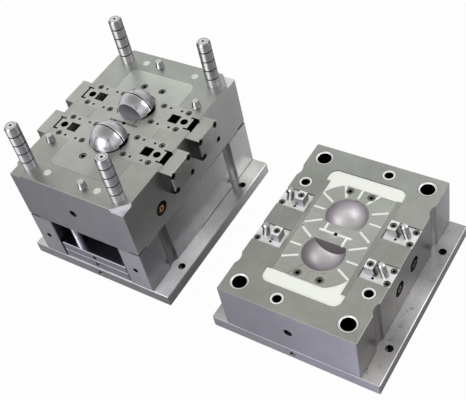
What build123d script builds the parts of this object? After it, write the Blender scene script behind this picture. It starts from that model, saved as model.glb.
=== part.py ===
from build123d import *
import math
import os

# Injection mould with side actions, opened and laid out flat.
# The moving half with its two dome cores stands at -X, the fixed half with the two
# cavities stands at +X, both with the parting face up. Sizes are in millimetres.
# The origin is on the floor under the middle of the set.

# Mould base, both halves
PLATE_WIDTH = 200.0
PLATE_LENGTH = 280.0
CLAMP_OVERHANG = 25.0
CLAMP_THICKNESS = 20.0
SPACER_HEIGHT = 80.0
SPACER_WIDTH = 38.5
CORE_PLATE_THICKNESS = 90.0
CAVITY_PLATE_THICKNESS = 80.0
CLAMP_GAP = 75.0
EDGE_CHAMFER = 1.0

# Room between pieces: seated pieces, sliding pins, sliding slides
SEAT_FIT = 0.02
PIN_FIT = 0.03
SLIDE_FIT = 0.05

# Reach of a cut past the face that it opens
OVERCUT = 1.0

# Clamping holes in the overhang, central hole for the ejector rod
CLAMP_HOLE_DIAMETER = 11.0
CLAMP_HOLE_INSET = 12.5
CLAMP_HOLE_PITCH = 170.0
EJECTOR_ROD_HOLE = 40.0

# Grooves down the outer sides, pry slots and tapped holes for eyebolts
SIDE_GROOVE_WIDTH = 20.0
SIDE_GROOVE_DEPTH = 3.5
SIDE_GROOVE_PITCH = 170.0
PRY_SLOT_LEG = 20.0
PRY_SLOT_HEIGHT = 3.5
CORNER_DROP_LEG = 20.0
CORNER_DROP_DEPTH = 5.5
FRONT_HOLE_DIAMETER = 8.5
EJECTOR_FRONT_HOLE = 6.0
FRONT_HOLE_DEPTH = 15.0
EYEBOLT_HOLE_DIAMETER = 12.0

# Guide pillars and bushes
PILLAR_DIAMETER = 20.0
PILLAR_INSET = 22.0
PILLAR_RISE = 76.0
PILLAR_SEAT_DIAMETER = 27.0
PILLAR_FLANGE_DIAMETER = 32.0
PILLAR_FLANGE_HEIGHT = 6.0
PILLAR_TIP_CHAMFER = 2.0
PILLAR_TIP_HEIGHT = 3.5
PILLAR_CENTRE_HOLE = 4.0
OIL_GROOVE_WIDTH = 2.0
OIL_GROOVE_DEPTH = 0.8
OIL_GROOVE_START = 13.5
OIL_GROOVE_PITCH = 16.0
OIL_GROOVE_COUNT = 4
BUSH_MOUTH_CHAMFER = 1.25

# Round taper interlocks
INTERLOCK_BODY_DIAMETER = 18.0
INTERLOCK_BODY_DEPTH = 16.0
INTERLOCK_ROOT_DIAMETER = 13.0
INTERLOCK_TIP_DIAMETER = 9.0
INTERLOCK_HEIGHT = 10.0
INTERLOCK_END_ROOM = 1.0
INTERLOCK_TO_RETURN_PIN = 24.0
INTERLOCK_END_INSET = 18.5
INTERLOCK_SIDE_INSET = 19.0
INTERLOCK_SIDE_OFFSET = 67.5

# Inserts, cores and cavities
INSERT_SIDE_MARGIN = 43.0
INSERT_END_MARGIN = 36.0
INSERT_CORNER_RADIUS = 12.0
INSERT_DEPTH = 45.0
CAVITY_PITCH = 67.5
CORE_RADIUS = 27.0
WALL_THICKNESS = 2.25
CORE_FLAT_OFFSET = 17.0
FLAT_WALL_THICKNESS = 1.5
CORE_FLANGE_STEP = 3.0
CORE_FLANGE_HEIGHT = 6.0
RIM_WIDTH = 2.5
RIM_DEPTH = 2.0
DOME_GROOVE_WIDTH = 0.8
DOME_GROOVE_DEPTH = 1.0
INSERT_SCREW_SPACING_X = 32.0
INSERT_SCREW_SPACING_Y = 150.0

# Runner, sprue and vents
RUNNER_DIAMETER = 3.5
RUNNER_REACH = 24.0
BRANCH_OFFSET = 17.0
SPRUE_DIAMETER = 5.0
SPRUE_INLET_DIAMETER = 3.5
SPRUE_BUSH_DIAMETER = 14.0
SPRUE_FLANGE_DIAMETER = 36.0
SPRUE_FLANGE_HEIGHT = 10.0
LOCATING_RING_DIAMETER = 100.0
LOCATING_RING_HEIGHT = 9.0
LOCATING_RING_BORE = 30.0
LAND_RADIUS = 55.0
LAND_SIDE_INSET = 7.0
LAND_END_INSET = 21.5
RELIEF_DEPTH = 1.0
VENT_WIDTH = 4.0
VENT_DEPTH = 0.6
VENT_DAM = 3.0
VENT_ANGLES = (0, 28, 62, 90, 118, 152, 180, 212, 328)

# Slide units: distances s run outward from the middle of the half
SLIDE_DEPTH = 28.0
SLIDE_WIDTH = 19.0
WING_REACH = 2.5
WING_HEIGHT = 6.0
SLIDE_TAIL_GAP = 7.0
HOOK_RADIUS = 24.5
HOOK_THICKNESS = 5.0
HOOK_RISE = 4.0
HOOK_GAP = 3.8
FINGER_HEIGHT = 10.0
POCKET_END_ROOM = 0.1
POCKET_SIDE_ROOM = 0.3
POCKET_FLOOR_ROOM = 0.5
ANGLE_HOLE_DIAMETER = 11.0
ANGLE_PIN_TILT = 11.5
GIB_CORE_GAP = 1.0
GIB_END_INSET = 12.5
GIB_OUTER_HALF_WIDTH = 23.0
GIB_SCREW_OFFSET = 17.05
GIB_SCREW_FIRST = 8.5
GIB_SCREW_LAST = 8.1
GIB_DOWEL_DIAMETER = 4.0
GIB_DOWEL_FIRST = 20.5
GIB_DOWEL_LAST = 20.0
GIB_DOWEL_DEPTH = 10.0
STOP_BLOCK_THICKNESS = 20.0
STOP_BLOCK_HEIGHT = 38.0
STOP_BLOCK_DROP = 4.0
STOP_SCREW_SPACING_Y = 37.0
STOP_SCREW_SPACING_Z = 28.0

# Wedge blocks with the inclined pins
WEDGE_INSERT_GAP = 0.5
WEDGE_WIDTH = 32.5
WEDGE_THICKNESS = 14.0
WEDGE_DROP = 1.75
NOSE_HEIGHT = 14.25
NOSE_WIDTH = 15.0
NOSE_SETBACK = 4.5
NOSE_BASE_LENGTH = 16.0
NOSE_TOP_LENGTH = 11.8
ANGLE_PIN_DIAMETER = 10.0
ANGLE_PIN_INSET = 13.5
ANGLE_PIN_RISE = 20.0
ANGLE_PIN_TAIL = 9.0
ANGLE_PIN_TIP = 2.0
WEDGE_SCREW_INSET = 5.5
WEDGE_SCREW_OFFSET = 10.4
WEDGE_DOWEL_INSET = 25.5
WEDGE_DOWEL_OFFSET = -10.0
WEDGE_DOWEL_DIAMETER = 4.0
WEDGE_DOWEL_LENGTH = 20.0
WEDGE_DOWEL_DROP = 6.0

# Ejector set
EJECTOR_SIDE_ROOM = 2.0
EJECTOR_END_ROOM = 1.0
EJECTOR_PLATE_THICKNESS = 16.0
RETAINER_THICKNESS = 15.0
STOP_BUTTON_DIAMETER = 16.0
STOP_BUTTON_HEIGHT = 2.0
RETURN_PIN_DIAMETER = 12.0
RETURN_PIN_HEAD = 17.0
RETURN_PIN_INSET_X = 15.5
RETURN_PIN_INSET_Y = 20.0
EJECTOR_SCREW_INSET_X = 15.0
EJECTOR_SCREW_INSET_Y = 60.0
EJECTOR_PIN_DIAMETER = 4.0
EJECTOR_PIN_HEAD = 8.0
EJECTOR_HEAD_HEIGHT = 5.0
DOME_PIN_OFFSET_X = 14.5
DOME_PIN_OFFSET_Y = -14.5
PULLER_DIAMETER = 6.0
PULLER_HEAD = 11.0
PULLER_DROP = 6.0

# Screws: thread, head diameter, head height, hexagon across flats
SCREW_SMALL = (5.0, 8.5, 5.0, 4.0)
SCREW_MEDIUM = (6.0, 10.0, 6.0, 5.0)
SCREW_EJECTOR = (8.0, 13.0, 8.0, 6.0)
SCREW_FRAME = (14.0, 21.0, 14.0, 12.0)
COUNTERBORE_ROOM = 0.5
SCREW_HEAD_DROP = 0.5
SCREW_SOCKET_SHARE = 0.6
THREAD_REACH = 10.0
FRAME_SCREW_REACH = 25.0
FRAME_SCREW_INSET_Y = 100.0
CLEARANCE_HOLE_ROOM = 0.5

# Cooling water
WATER_BORE = 8.0
WATER_COUNTERBORE = 23.0
WATER_COUNTERBORE_DEPTH = 18.0
WATER_CORE_INSET_Y = 67.0
WATER_CORE_HEIGHT = 29.5
WATER_CAVITY_SPACING = 44.0
WATER_CAVITY_HEIGHT = 42.0
NIPPLE_HEX = 14.0
NIPPLE_HEX_HEIGHT = 6.0
NIPPLE_HOSE_DIAMETER = 9.0
NIPPLE_LENGTH = 18.0
NIPPLE_BORE = 5.0

# Levels and places worked out from the sizes above
CLAMP_WIDTH = PLATE_WIDTH + 2 * CLAMP_OVERHANG
HALF_OFFSET = (CLAMP_WIDTH + CLAMP_GAP) / 2
PLATE_EDGE = PLATE_WIDTH / 2
INSERT_WIDTH = PLATE_WIDTH - 2 * INSERT_SIDE_MARGIN
INSERT_LENGTH = PLATE_LENGTH - 2 * INSERT_END_MARGIN
LAND_HALF_WIDTH = INSERT_WIDTH / 2 - LAND_SIDE_INSET
CORE_BASE = CLAMP_THICKNESS + SPACER_HEIGHT
CORE_TOP = CORE_BASE + CORE_PLATE_THICKNESS
CAVITY_TOP = CLAMP_THICKNESS + CAVITY_PLATE_THICKNESS
CORE_FLOOR = CORE_TOP - INSERT_DEPTH
CAVITY_FLOOR = CAVITY_TOP - INSERT_DEPTH
CAVITY_RADIUS = CORE_RADIUS + WALL_THICKNESS
CAVITY_FLAT_OFFSET = CORE_FLAT_OFFSET + FLAT_WALL_THICKNESS
SPACER_CENTRE = (PLATE_WIDTH - SPACER_WIDTH) / 2
SLIDE_FLOOR = CORE_TOP - SLIDE_DEPTH
WING_HALF_WIDTH = SLIDE_WIDTH / 2 + WING_REACH
SLIDE_TAIL = PLATE_EDGE - SLIDE_TAIL_GAP
GIB_START = CORE_RADIUS + GIB_CORE_GAP
GIB_END = PLATE_EDGE - GIB_END_INSET
FRONT_RADIUS = HOOK_RADIUS + HOOK_GAP
EJECTOR_WIDTH = PLATE_WIDTH - 2 * SPACER_WIDTH - 2 * EJECTOR_SIDE_ROOM
EJECTOR_LENGTH = PLATE_LENGTH - 2 * EJECTOR_END_ROOM
EJECTOR_BASE = CLAMP_THICKNESS + STOP_BUTTON_HEIGHT
RETAINER_BASE = EJECTOR_BASE + EJECTOR_PLATE_THICKNESS
WATER_CORE_Y = WATER_CORE_INSET_Y - PLATE_LENGTH / 2
WATER_CAVITY_LEVEL = CLAMP_THICKNESS + WATER_CAVITY_HEIGHT
WEDGE_TOP = CAVITY_TOP - WEDGE_DROP
WEDGE_BASE = WEDGE_TOP - WEDGE_THICKNESS
WEDGE_LENGTH = INSERT_SIDE_MARGIN - WEDGE_INSERT_GAP

# Nose of a wedge block and the pocket it enters, measured inward from the plate edge
# When the halves close, the inclined pins carry the slides outward by the stroke.
NOSE_INNER = WEDGE_LENGTH - NOSE_SETBACK
NOSE_BASE_OUTER = NOSE_INNER - NOSE_BASE_LENGTH
NOSE_TOP_OUTER = NOSE_INNER - NOSE_TOP_LENGTH
NOSE_SLOPE = (NOSE_TOP_OUTER - NOSE_BASE_OUTER) / NOSE_HEIGHT
SLIDE_STROKE = ANGLE_PIN_RISE * math.tan(math.radians(ANGLE_PIN_TILT))
POCKET_DEPTH = NOSE_HEIGHT - WEDGE_DROP + POCKET_FLOOR_ROOM
POCKET_INNER = NOSE_INNER + SLIDE_STROKE + POCKET_END_ROOM
POCKET_OUTER = NOSE_BASE_OUTER + NOSE_SLOPE * WEDGE_DROP + SLIDE_STROKE
ANGLE_HOLE_INSET = ANGLE_PIN_INSET + SLIDE_STROKE

MOVING = Pos(-HALF_OFFSET, 0, 0)
FIXED = Pos(HALF_OFFSET, 0, 0)
CENTRED = (Align.CENTER, Align.CENTER, Align.MIN)
SIDES = {"left": -1, "right": 1}
ROWS = {"back": 1, "front": -1}


def column(diameter, height, base=0.0):
    """Upright cylinder on the level base."""
    return Pos(0, 0, base) * Cylinder(diameter / 2, height, align=CENTRED)


def span(x0, x1, y0, y1, z0, z1):
    """Box between two opposite corners."""
    return Pos(x0, y0, z0) * Box(x1 - x0, y1 - y0, z1 - z0, align=(Align.MIN,) * 3)


def plate(width, length, thickness, base):
    """Ground plate with all its edges broken."""
    body = Pos(0, 0, base) * Box(width, length, thickness, align=CENTRED)
    return chamfer(body.edges(), EDGE_CHAMFER)


def insert_block(room, base):
    """Insert with rounded corners; room shrinks it inside its pocket."""
    outline = RectangleRounded(
        INSERT_WIDTH - 2 * room, INSERT_LENGTH - 2 * room, INSERT_CORNER_RADIUS - room
    )
    return Pos(0, 0, base) * extrude(outline, INSERT_DEPTH)


def at_corners(shape, x, y):
    """Four copies of a shape at plus and minus x and y."""
    return [Pos(i * x, j * y, 0) * shape for i in (-1, 1) for j in (-1, 1)]


def corner_wedges(leg, height, base):
    """Triangular prisms over the four corners of a plate."""
    corner = Polygon((0, 0), (-leg, 0), (0, -leg), align=None)
    prism = Pos(PLATE_EDGE, PLATE_LENGTH / 2, base) * extrude(corner, height)
    flipped = mirror(prism, about=Plane.YZ)
    return [prism, flipped, mirror(prism, about=Plane.XZ), mirror(flipped, about=Plane.XZ)]


def side_grooves(height, base):
    """Round-bottomed grooves down both long sides of a plate."""
    half = SIDE_GROOVE_WIDTH / 2
    radius = (half**2 + SIDE_GROOVE_DEPTH**2) / (2 * SIDE_GROOVE_DEPTH)
    reach = PLATE_EDGE + radius - SIDE_GROOVE_DEPTH
    return at_corners(column(2 * radius, height, base), reach, SIDE_GROOVE_PITCH / 2)


def front_hole(x, z, diameter):
    """Blind hole in the front side."""
    hole = Cylinder(diameter / 2, FRONT_HOLE_DEPTH, align=CENTRED)
    return Pos(x, -PLATE_LENGTH / 2, z) * Rot(-90, 0, 0) * hole


def socket_screw(size, top, bottom):
    """Socket head cap screw standing upright between two levels."""
    thread, head, head_height, flats = size
    depth = head_height * SCREW_SOCKET_SHARE
    socket = extrude(RegularPolygon(flats / 2, 6, major_radius=False), depth)
    body = column(head, head_height, top - head_height) + column(thread, top - bottom, bottom)
    return body - Pos(0, 0, top - depth) * socket


def screw_hole(size, mouth, top, bottom):
    """Counterbored hole for a screw between the levels top and bottom."""
    thread, head, head_height, _ = size
    bore = column(head + 2 * COUNTERBORE_ROOM, mouth - top + head_height, top - head_height)
    return bore + column(thread + 2 * SEAT_FIT, top - bottom, bottom)


def in_unit(shape, side, row):
    """Place a shape modelled at +X on one of the four slide units."""
    placed = shape if side > 0 else mirror(shape, about=Plane.YZ)
    return Pos(0, row * CAVITY_PITCH / 2, 0) * placed


def every_unit(shape):
    return [in_unit(shape, side, row) for side in (-1, 1) for row in (-1, 1)]


def save(name, *pieces):
    solids = [solid for piece in pieces for solid in piece.solids()]
    export_step(solids[0] if len(solids) == 1 else Compound(solids), f"parts/{name}.step")


# Slide unit of the moving half

def gib_outline_pair():
    """Two guide strips that hold the wings of a slide down."""
    inner = SLIDE_WIDTH / 2 + SLIDE_FIT
    outer = GIB_OUTER_HALF_WIDTH - SEAT_FIT
    wing_top = SLIDE_FLOOR + WING_HEIGHT + SLIDE_FIT
    upper = span(GIB_START + SEAT_FIT, GIB_END - SEAT_FIT, inner, outer, wing_top, CORE_TOP)
    lower = span(GIB_START + SEAT_FIT, GIB_END - SEAT_FIT, inner + WING_REACH, outer, SLIDE_FLOOR, wing_top)
    strip = upper + lower
    return strip + mirror(strip, about=Plane.XZ)


def gib_places(first, last):
    return [
        (s, w * GIB_SCREW_OFFSET)
        for s in (GIB_START + first, GIB_END - last)
        for w in (-1, 1)
    ]


def gib_screw_holes():
    hole = screw_hole(SCREW_SMALL, CORE_TOP, CORE_TOP - SCREW_HEAD_DROP, SLIDE_FLOOR - THREAD_REACH)
    return [Pos(s, w, 0) * hole for s, w in gib_places(GIB_SCREW_FIRST, GIB_SCREW_LAST)]


def gib_dowel_column(room, top):
    bottom = SLIDE_FLOOR - GIB_DOWEL_DEPTH
    pin = column(GIB_DOWEL_DIAMETER + 2 * room, top - bottom, bottom)
    return [Pos(s, w, 0) * pin for s, w in gib_places(GIB_DOWEL_FIRST, GIB_DOWEL_LAST)]


def slide_channel():
    """Space of a slide unit in the core plate and core insert."""
    half = GIB_OUTER_HALF_WIDTH
    slot = WING_HALF_WIDTH + SLIDE_FIT
    window = SLIDE_WIDTH / 2 + SLIDE_FIT
    return [
        span(GIB_START, GIB_END, -half, half, SLIDE_FLOOR, CORE_TOP),
        span(GIB_END - OVERCUT, PLATE_EDGE, -slot, slot, SLIDE_FLOOR, CORE_TOP),
        span(
            HOOK_RADIUS - HOOK_THICKNESS - SLIDE_FIT, GIB_START + OVERCUT,
            -window, window, SLIDE_FLOOR, CORE_TOP,
        ),
    ]


def slide_body():
    """Slide with T wings, wedge pocket, inclined hole and a hook that reaches into the dome."""
    half = SLIDE_WIDTH / 2
    nose = HOOK_RADIUS - HOOK_THICKNESS
    neck = span(nose, SLIDE_TAIL, -half, half, SLIDE_FLOOR, CORE_TOP)
    wings = span(
        GIB_START + SLIDE_FIT, SLIDE_TAIL, -WING_HALF_WIDTH, WING_HALF_WIDTH,
        SLIDE_FLOOR, SLIDE_FLOOR + WING_HEIGHT,
    )
    hook = span(nose, HOOK_RADIUS + OVERCUT, -half, half, CORE_TOP - OVERCUT, CORE_TOP + HOOK_RISE)
    finger_top = SLIDE_FLOOR + FINGER_HEIGHT
    gap = column(2 * FRONT_RADIUS, SLIDE_DEPTH + HOOK_RISE, finger_top)
    gap -= column(2 * HOOK_RADIUS, SLIDE_DEPTH + HOOK_RISE, finger_top)
    gap &= span(0, FRONT_RADIUS, -half - OVERCUT, half + OVERCUT, finger_top, CORE_TOP + HOOK_RISE)
    body = neck + wings + hook - gap
    hole = inclined(
        ANGLE_HOLE_DIAMETER, ANGLE_HOLE_INSET, CORE_TOP, -ANGLE_PIN_TILT,
        SLIDE_FLOOR - ANGLE_HOLE_DIAMETER, CORE_TOP + ANGLE_HOLE_DIAMETER,
    )
    return body - wedge_pocket() - hole


def wedge_pocket():
    """Pocket that the wedge nose enters; its outer end slopes like the nose."""
    inner = PLATE_EDGE - POCKET_INNER
    outer = PLATE_EDGE - POCKET_OUTER
    floor = CORE_TOP - POCKET_DEPTH
    profile = Polygon(
        (inner, CORE_TOP), (outer, CORE_TOP),
        (outer - NOSE_SLOPE * POCKET_DEPTH, floor), (inner, floor), align=None,
    )
    return extrude(Plane.XZ * profile, NOSE_WIDTH / 2 + POCKET_SIDE_ROOM, both=True)


def inclined(diameter, inset, level, tilt, low, high):
    """Cylinder leaning inward by the tilt as it rises; inset is its place at a level."""
    slant = math.cos(math.radians(tilt))
    down = (level - low) / slant
    up = (high - level) / slant
    stock = Pos(0, 0, -down) * Cylinder(diameter / 2, down + up, align=CENTRED)
    return Pos(PLATE_EDGE - inset, 0, level) * Rot(0, -tilt, 0) * stock


def stop_block():
    top = CORE_TOP - STOP_BLOCK_DROP
    half = GIB_OUTER_HALF_WIDTH
    body = span(
        PLATE_EDGE, PLATE_EDGE + STOP_BLOCK_THICKNESS, -half, half, top - STOP_BLOCK_HEIGHT, top
    )
    body = chamfer(body.faces().sort_by(Axis.X)[-1].edges(), EDGE_CHAMFER)
    return body - stop_screws(hole=True)


def stop_screws(hole):
    """Four screws along X through a stop block, or their holes."""
    face = PLATE_EDGE + STOP_BLOCK_THICKNESS
    reach = STOP_BLOCK_THICKNESS + THREAD_REACH
    if hole:
        stock = screw_hole(SCREW_SMALL, 0, -SCREW_HEAD_DROP, -reach)
    else:
        stock = socket_screw(SCREW_SMALL, -SCREW_HEAD_DROP, -reach)
    lying = Rot(0, 90, 0) * stock
    middle = CORE_TOP - STOP_BLOCK_DROP - STOP_BLOCK_HEIGHT / 2
    return [
        Pos(face, i * STOP_SCREW_SPACING_Y / 2, middle + j * STOP_SCREW_SPACING_Z / 2) * lying
        for i in (-1, 1)
        for j in (-1, 1)
    ]


# Cores

def core_flat_cut(offset, top):
    """Material beyond the upright flat on the side towards the middle of the mould."""
    far = CAVITY_RADIUS + RIM_WIDTH + OVERCUT
    return span(-far, far, -far, -offset, CORE_FLOOR - OVERCUT, top)


def dome_core():
    """Dome with an upright flat, its round shank and its flange; flat at -Y."""
    shank = column(2 * (CORE_RADIUS - SEAT_FIT), INSERT_DEPTH, CORE_FLOOR)
    dome = Pos(0, 0, CORE_TOP) * Sphere(CORE_RADIUS - SEAT_FIT)
    dome -= core_flat_cut(CORE_FLAT_OFFSET, CORE_TOP + CORE_RADIUS)
    flange = column(
        2 * (CORE_RADIUS + CORE_FLANGE_STEP - SEAT_FIT), CORE_FLANGE_HEIGHT - SEAT_FIT, CORE_FLOOR
    )
    window = span(
        HOOK_RADIUS - HOOK_THICKNESS - SLIDE_FIT, 2 * CORE_RADIUS,
        -SLIDE_WIDTH / 2 - SLIDE_FIT, SLIDE_WIDTH / 2 + SLIDE_FIT,
        SLIDE_FLOOR, CORE_TOP + HOOK_RISE + SLIDE_FIT,
    )
    return shank + dome + flange - window - mirror(window, about=Plane.YZ) - dome_groove()


def dome_groove():
    """Fine groove over the dome in the plane across its middle."""
    reach = CORE_RADIUS + OVERCUT
    outer = Cylinder(reach, DOME_GROOVE_WIDTH)
    inner = Cylinder(CORE_RADIUS - DOME_GROOVE_DEPTH, DOME_GROOVE_WIDTH)
    ring = Pos(0, 0, CORE_TOP) * Rot(90, 0, 0) * (outer - inner)
    return ring & span(-reach, reach, -DOME_GROOVE_WIDTH, DOME_GROOVE_WIDTH, CORE_TOP, CORE_TOP + reach)


def core_seat():
    """Hole for a dome core in the insert, with the rim step round it."""
    flange = column(2 * (CORE_RADIUS + CORE_FLANGE_STEP), CORE_FLANGE_HEIGHT, CORE_FLOOR)
    shank = column(2 * CORE_RADIUS, INSERT_DEPTH, CORE_FLOOR)
    rim = column(2 * (CORE_RADIUS + RIM_WIDTH), RIM_DEPTH, CORE_TOP - RIM_DEPTH)
    rim -= core_flat_cut(CORE_FLAT_OFFSET + RIM_WIDTH, CORE_TOP + OVERCUT)
    return flange + shank + rim


def in_row(shape, row):
    """Place a core or cavity shape in the back or front row; its flat faces the middle."""
    placed = shape if row > 0 else mirror(shape, about=Plane.XZ)
    return Pos(0, row * CAVITY_PITCH / 2, 0) * placed


def both_rows(shape):
    return [in_row(shape, 1), in_row(shape, -1)]


# Runner

def runner(top, direction):
    """Main runner across the middle and one branch towards each row."""
    stock = Cylinder(RUNNER_DIAMETER / 2, 2 * RUNNER_REACH)
    main = Pos(0, 0, top) * Rot(0, 90, 0) * stock
    reach = CAVITY_PITCH / 2 - CORE_FLAT_OFFSET
    branch = Rot(-90, 0, 0) * Cylinder(RUNNER_DIAMETER / 2, reach, align=CENTRED)
    back = Pos(direction * BRANCH_OFFSET, 0, top) * branch
    front = Pos(-direction * BRANCH_OFFSET, -reach, top) * branch
    return [main, back, front]


# Moving half, static plates

def frame_screw_places():
    return SPACER_CENTRE, PLATE_LENGTH / 2 - FRAME_SCREW_INSET_Y


def clamp_plate():
    """Outermost plate of either half with its clamping holes and screw holes."""
    thread, head, head_height, _ = SCREW_FRAME
    screw = column(head + 2 * COUNTERBORE_ROOM, head_height + SCREW_HEAD_DROP, 0)
    screw += column(thread + 2 * CLEARANCE_HOLE_ROOM, CLAMP_THICKNESS, 0)
    hole = column(CLAMP_HOLE_DIAMETER, CLAMP_THICKNESS, 0)
    body = plate(CLAMP_WIDTH, PLATE_LENGTH, CLAMP_THICKNESS, 0)
    body -= at_corners(hole, CLAMP_WIDTH / 2 - CLAMP_HOLE_INSET, CLAMP_HOLE_PITCH / 2)
    body -= at_corners(screw, *frame_screw_places())
    return body - front_hole(0, CLAMP_THICKNESS / 2, FRONT_HOLE_DIAMETER)


def bottom_clamp_plate():
    return clamp_plate() - column(EJECTOR_ROD_HOLE, CLAMP_THICKNESS, 0)


def spacer_block(side):
    body = plate(SPACER_WIDTH, PLATE_LENGTH, SPACER_HEIGHT, CLAMP_THICKNESS)
    body = Pos(side * SPACER_CENTRE, 0, 0) * body
    hole = column(SCREW_FRAME[0] + 2 * CLEARANCE_HOLE_ROOM, SPACER_HEIGHT, CLAMP_THICKNESS)
    body -= at_corners(hole, *frame_screw_places())
    body -= side_grooves(SPACER_HEIGHT, CLAMP_THICKNESS)
    middle = CLAMP_THICKNESS + SPACER_HEIGHT / 2
    return body - front_hole(side * SPACER_CENTRE, middle, FRONT_HOLE_DIAMETER)


def core_plate():
    body = plate(PLATE_WIDTH, PLATE_LENGTH, CORE_PLATE_THICKNESS, CORE_BASE)
    body -= insert_block(0, CORE_FLOOR)
    body -= [in_unit(cut, side, row) for cut in slide_channel() for side in (-1, 1) for row in (-1, 1)]
    for cut in gib_screw_holes() + gib_dowel_column(SEAT_FIT, CORE_TOP) + stop_screws(hole=True):
        body -= every_unit(cut)
    body -= corner_wedges(CORNER_DROP_LEG, CORNER_DROP_DEPTH, CORE_TOP - CORNER_DROP_DEPTH)
    body -= corner_wedges(PRY_SLOT_LEG, PRY_SLOT_HEIGHT, CORE_BASE)
    body -= at_corners(pillar_seat(CORE_BASE, CORE_PLATE_THICKNESS), *pillar_place())
    return_hole = column(RETURN_PIN_DIAMETER + 2 * PIN_FIT, CORE_PLATE_THICKNESS, CORE_BASE)
    body -= at_corners(return_hole, *return_pin_place())
    body -= [Pos(x, y, 0) * interlock_seat(CORE_TOP) for x, y in interlock_places(1)]
    frame_thread = column(SCREW_FRAME[0] + 2 * SEAT_FIT, FRAME_SCREW_REACH, CORE_BASE)
    body -= at_corners(frame_thread, *frame_screw_places())
    pin_room = column(EJECTOR_PIN_DIAMETER + 2 * CLEARANCE_HOLE_ROOM, CORE_PLATE_THICKNESS, CORE_BASE)
    body -= [Pos(x, y, 0) * pin_room for x, y in ejector_pin_places()]
    body -= column(PULLER_DIAMETER + 2 * CLEARANCE_HOLE_ROOM, CORE_PLATE_THICKNESS, CORE_BASE)
    body -= insert_screw_holes(CORE_TOP, CORE_FLOOR)
    body -= water_line(CORE_BASE + WATER_CORE_HEIGHT, WATER_CORE_Y)
    body -= front_hole(0, CORE_BASE + CORE_PLATE_THICKNESS / 2, EYEBOLT_HOLE_DIAMETER)
    return body


def core_insert():
    body = insert_block(SEAT_FIT, CORE_FLOOR)
    body -= both_rows(core_seat())
    body -= [in_unit(cut, side, row) for cut in slide_channel() for side in (-1, 1) for row in (-1, 1)]
    for cut in gib_screw_holes() + gib_dowel_column(SEAT_FIT, CORE_TOP):
        body -= every_unit(cut)
    body -= runner(CORE_TOP, 1)
    pin_hole = column(EJECTOR_PIN_DIAMETER + 2 * PIN_FIT, INSERT_DEPTH, CORE_FLOOR)
    body -= [Pos(x, y, 0) * pin_hole for x, y in runner_pin_places()]
    body -= column(PULLER_DIAMETER + 2 * PIN_FIT, INSERT_DEPTH, CORE_FLOOR)
    return body - insert_screw_holes(CORE_TOP, CORE_FLOOR)


def insert_screw_holes(top, floor):
    hole = screw_hole(SCREW_MEDIUM, top, top - SCREW_HEAD_DROP, floor - THREAD_REACH)
    return at_corners(hole, INSERT_SCREW_SPACING_X / 2, INSERT_SCREW_SPACING_Y / 2)


def insert_screws(top, floor):
    screw = socket_screw(SCREW_MEDIUM, top - SCREW_HEAD_DROP, floor - THREAD_REACH)
    return at_corners(screw, INSERT_SCREW_SPACING_X / 2, INSERT_SCREW_SPACING_Y / 2)


# Guide pillars, bushes and interlocks

def pillar_place():
    return PLATE_EDGE - PILLAR_INSET, PLATE_LENGTH / 2 - PILLAR_INSET


def pillar_seat(base, height):
    """Stepped hole for a pillar or a bush, its flange at the back of the plate."""
    flange = column(PILLAR_FLANGE_DIAMETER + 2 * SEAT_FIT, PILLAR_FLANGE_HEIGHT + SEAT_FIT, base)
    return flange + column(PILLAR_SEAT_DIAMETER + 2 * SEAT_FIT, height, base)


def guide_pillar():
    """Pillar turned as one profile with oil grooves and a chamfered tip."""
    radius = PILLAR_DIAMETER / 2
    top = CORE_TOP + PILLAR_RISE
    body = column(PILLAR_FLANGE_DIAMETER, PILLAR_FLANGE_HEIGHT, CORE_BASE)
    body += column(PILLAR_SEAT_DIAMETER, CORE_PLATE_THICKNESS, CORE_BASE)
    body += column(PILLAR_DIAMETER, PILLAR_RISE - PILLAR_TIP_HEIGHT, CORE_TOP)
    tip = Cone(radius, radius - PILLAR_TIP_CHAMFER, PILLAR_TIP_HEIGHT, align=CENTRED)
    body += Pos(0, 0, top - PILLAR_TIP_HEIGHT) * tip
    ring = column(PILLAR_DIAMETER + 2 * OVERCUT, OIL_GROOVE_WIDTH, -OIL_GROOVE_WIDTH / 2)
    ring -= column(PILLAR_DIAMETER - 2 * OIL_GROOVE_DEPTH, OIL_GROOVE_WIDTH, -OIL_GROOVE_WIDTH / 2)
    for index in range(OIL_GROOVE_COUNT):
        body -= Pos(0, 0, CORE_TOP + OIL_GROOVE_START + index * OIL_GROOVE_PITCH) * ring
    return body - column(PILLAR_CENTRE_HOLE, PILLAR_CENTRE_HOLE, top - PILLAR_CENTRE_HOLE)


def guide_bush():
    body = column(PILLAR_FLANGE_DIAMETER, PILLAR_FLANGE_HEIGHT, CLAMP_THICKNESS)
    body += column(PILLAR_SEAT_DIAMETER, CAVITY_PLATE_THICKNESS, CLAMP_THICKNESS)
    radius = PILLAR_DIAMETER / 2 + PIN_FIT
    body -= column(2 * radius, CAVITY_PLATE_THICKNESS, CLAMP_THICKNESS)
    mouth = Cone(radius, radius + BUSH_MOUTH_CHAMFER, BUSH_MOUTH_CHAMFER, align=CENTRED)
    return body - Pos(0, 0, CAVITY_TOP - BUSH_MOUTH_CHAMFER) * mouth


def interlock_places(turn):
    """Centres of the four interlocks; turn is 1 on the moving half and -1 on the fixed half."""
    end = PLATE_LENGTH / 2 - INTERLOCK_END_INSET
    edge = PLATE_EDGE - INTERLOCK_SIDE_INSET
    pin_x, _ = return_pin_place()
    offset = pin_x - INTERLOCK_TO_RETURN_PIN
    return [
        (turn * offset, -end),
        (-turn * offset, end),
        (-turn * edge, -INTERLOCK_SIDE_OFFSET),
        (turn * edge, INTERLOCK_SIDE_OFFSET),
    ]


def interlock_seat(top):
    return column(INTERLOCK_BODY_DIAMETER + 2 * SEAT_FIT, INTERLOCK_BODY_DEPTH, top - INTERLOCK_BODY_DEPTH)


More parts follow.
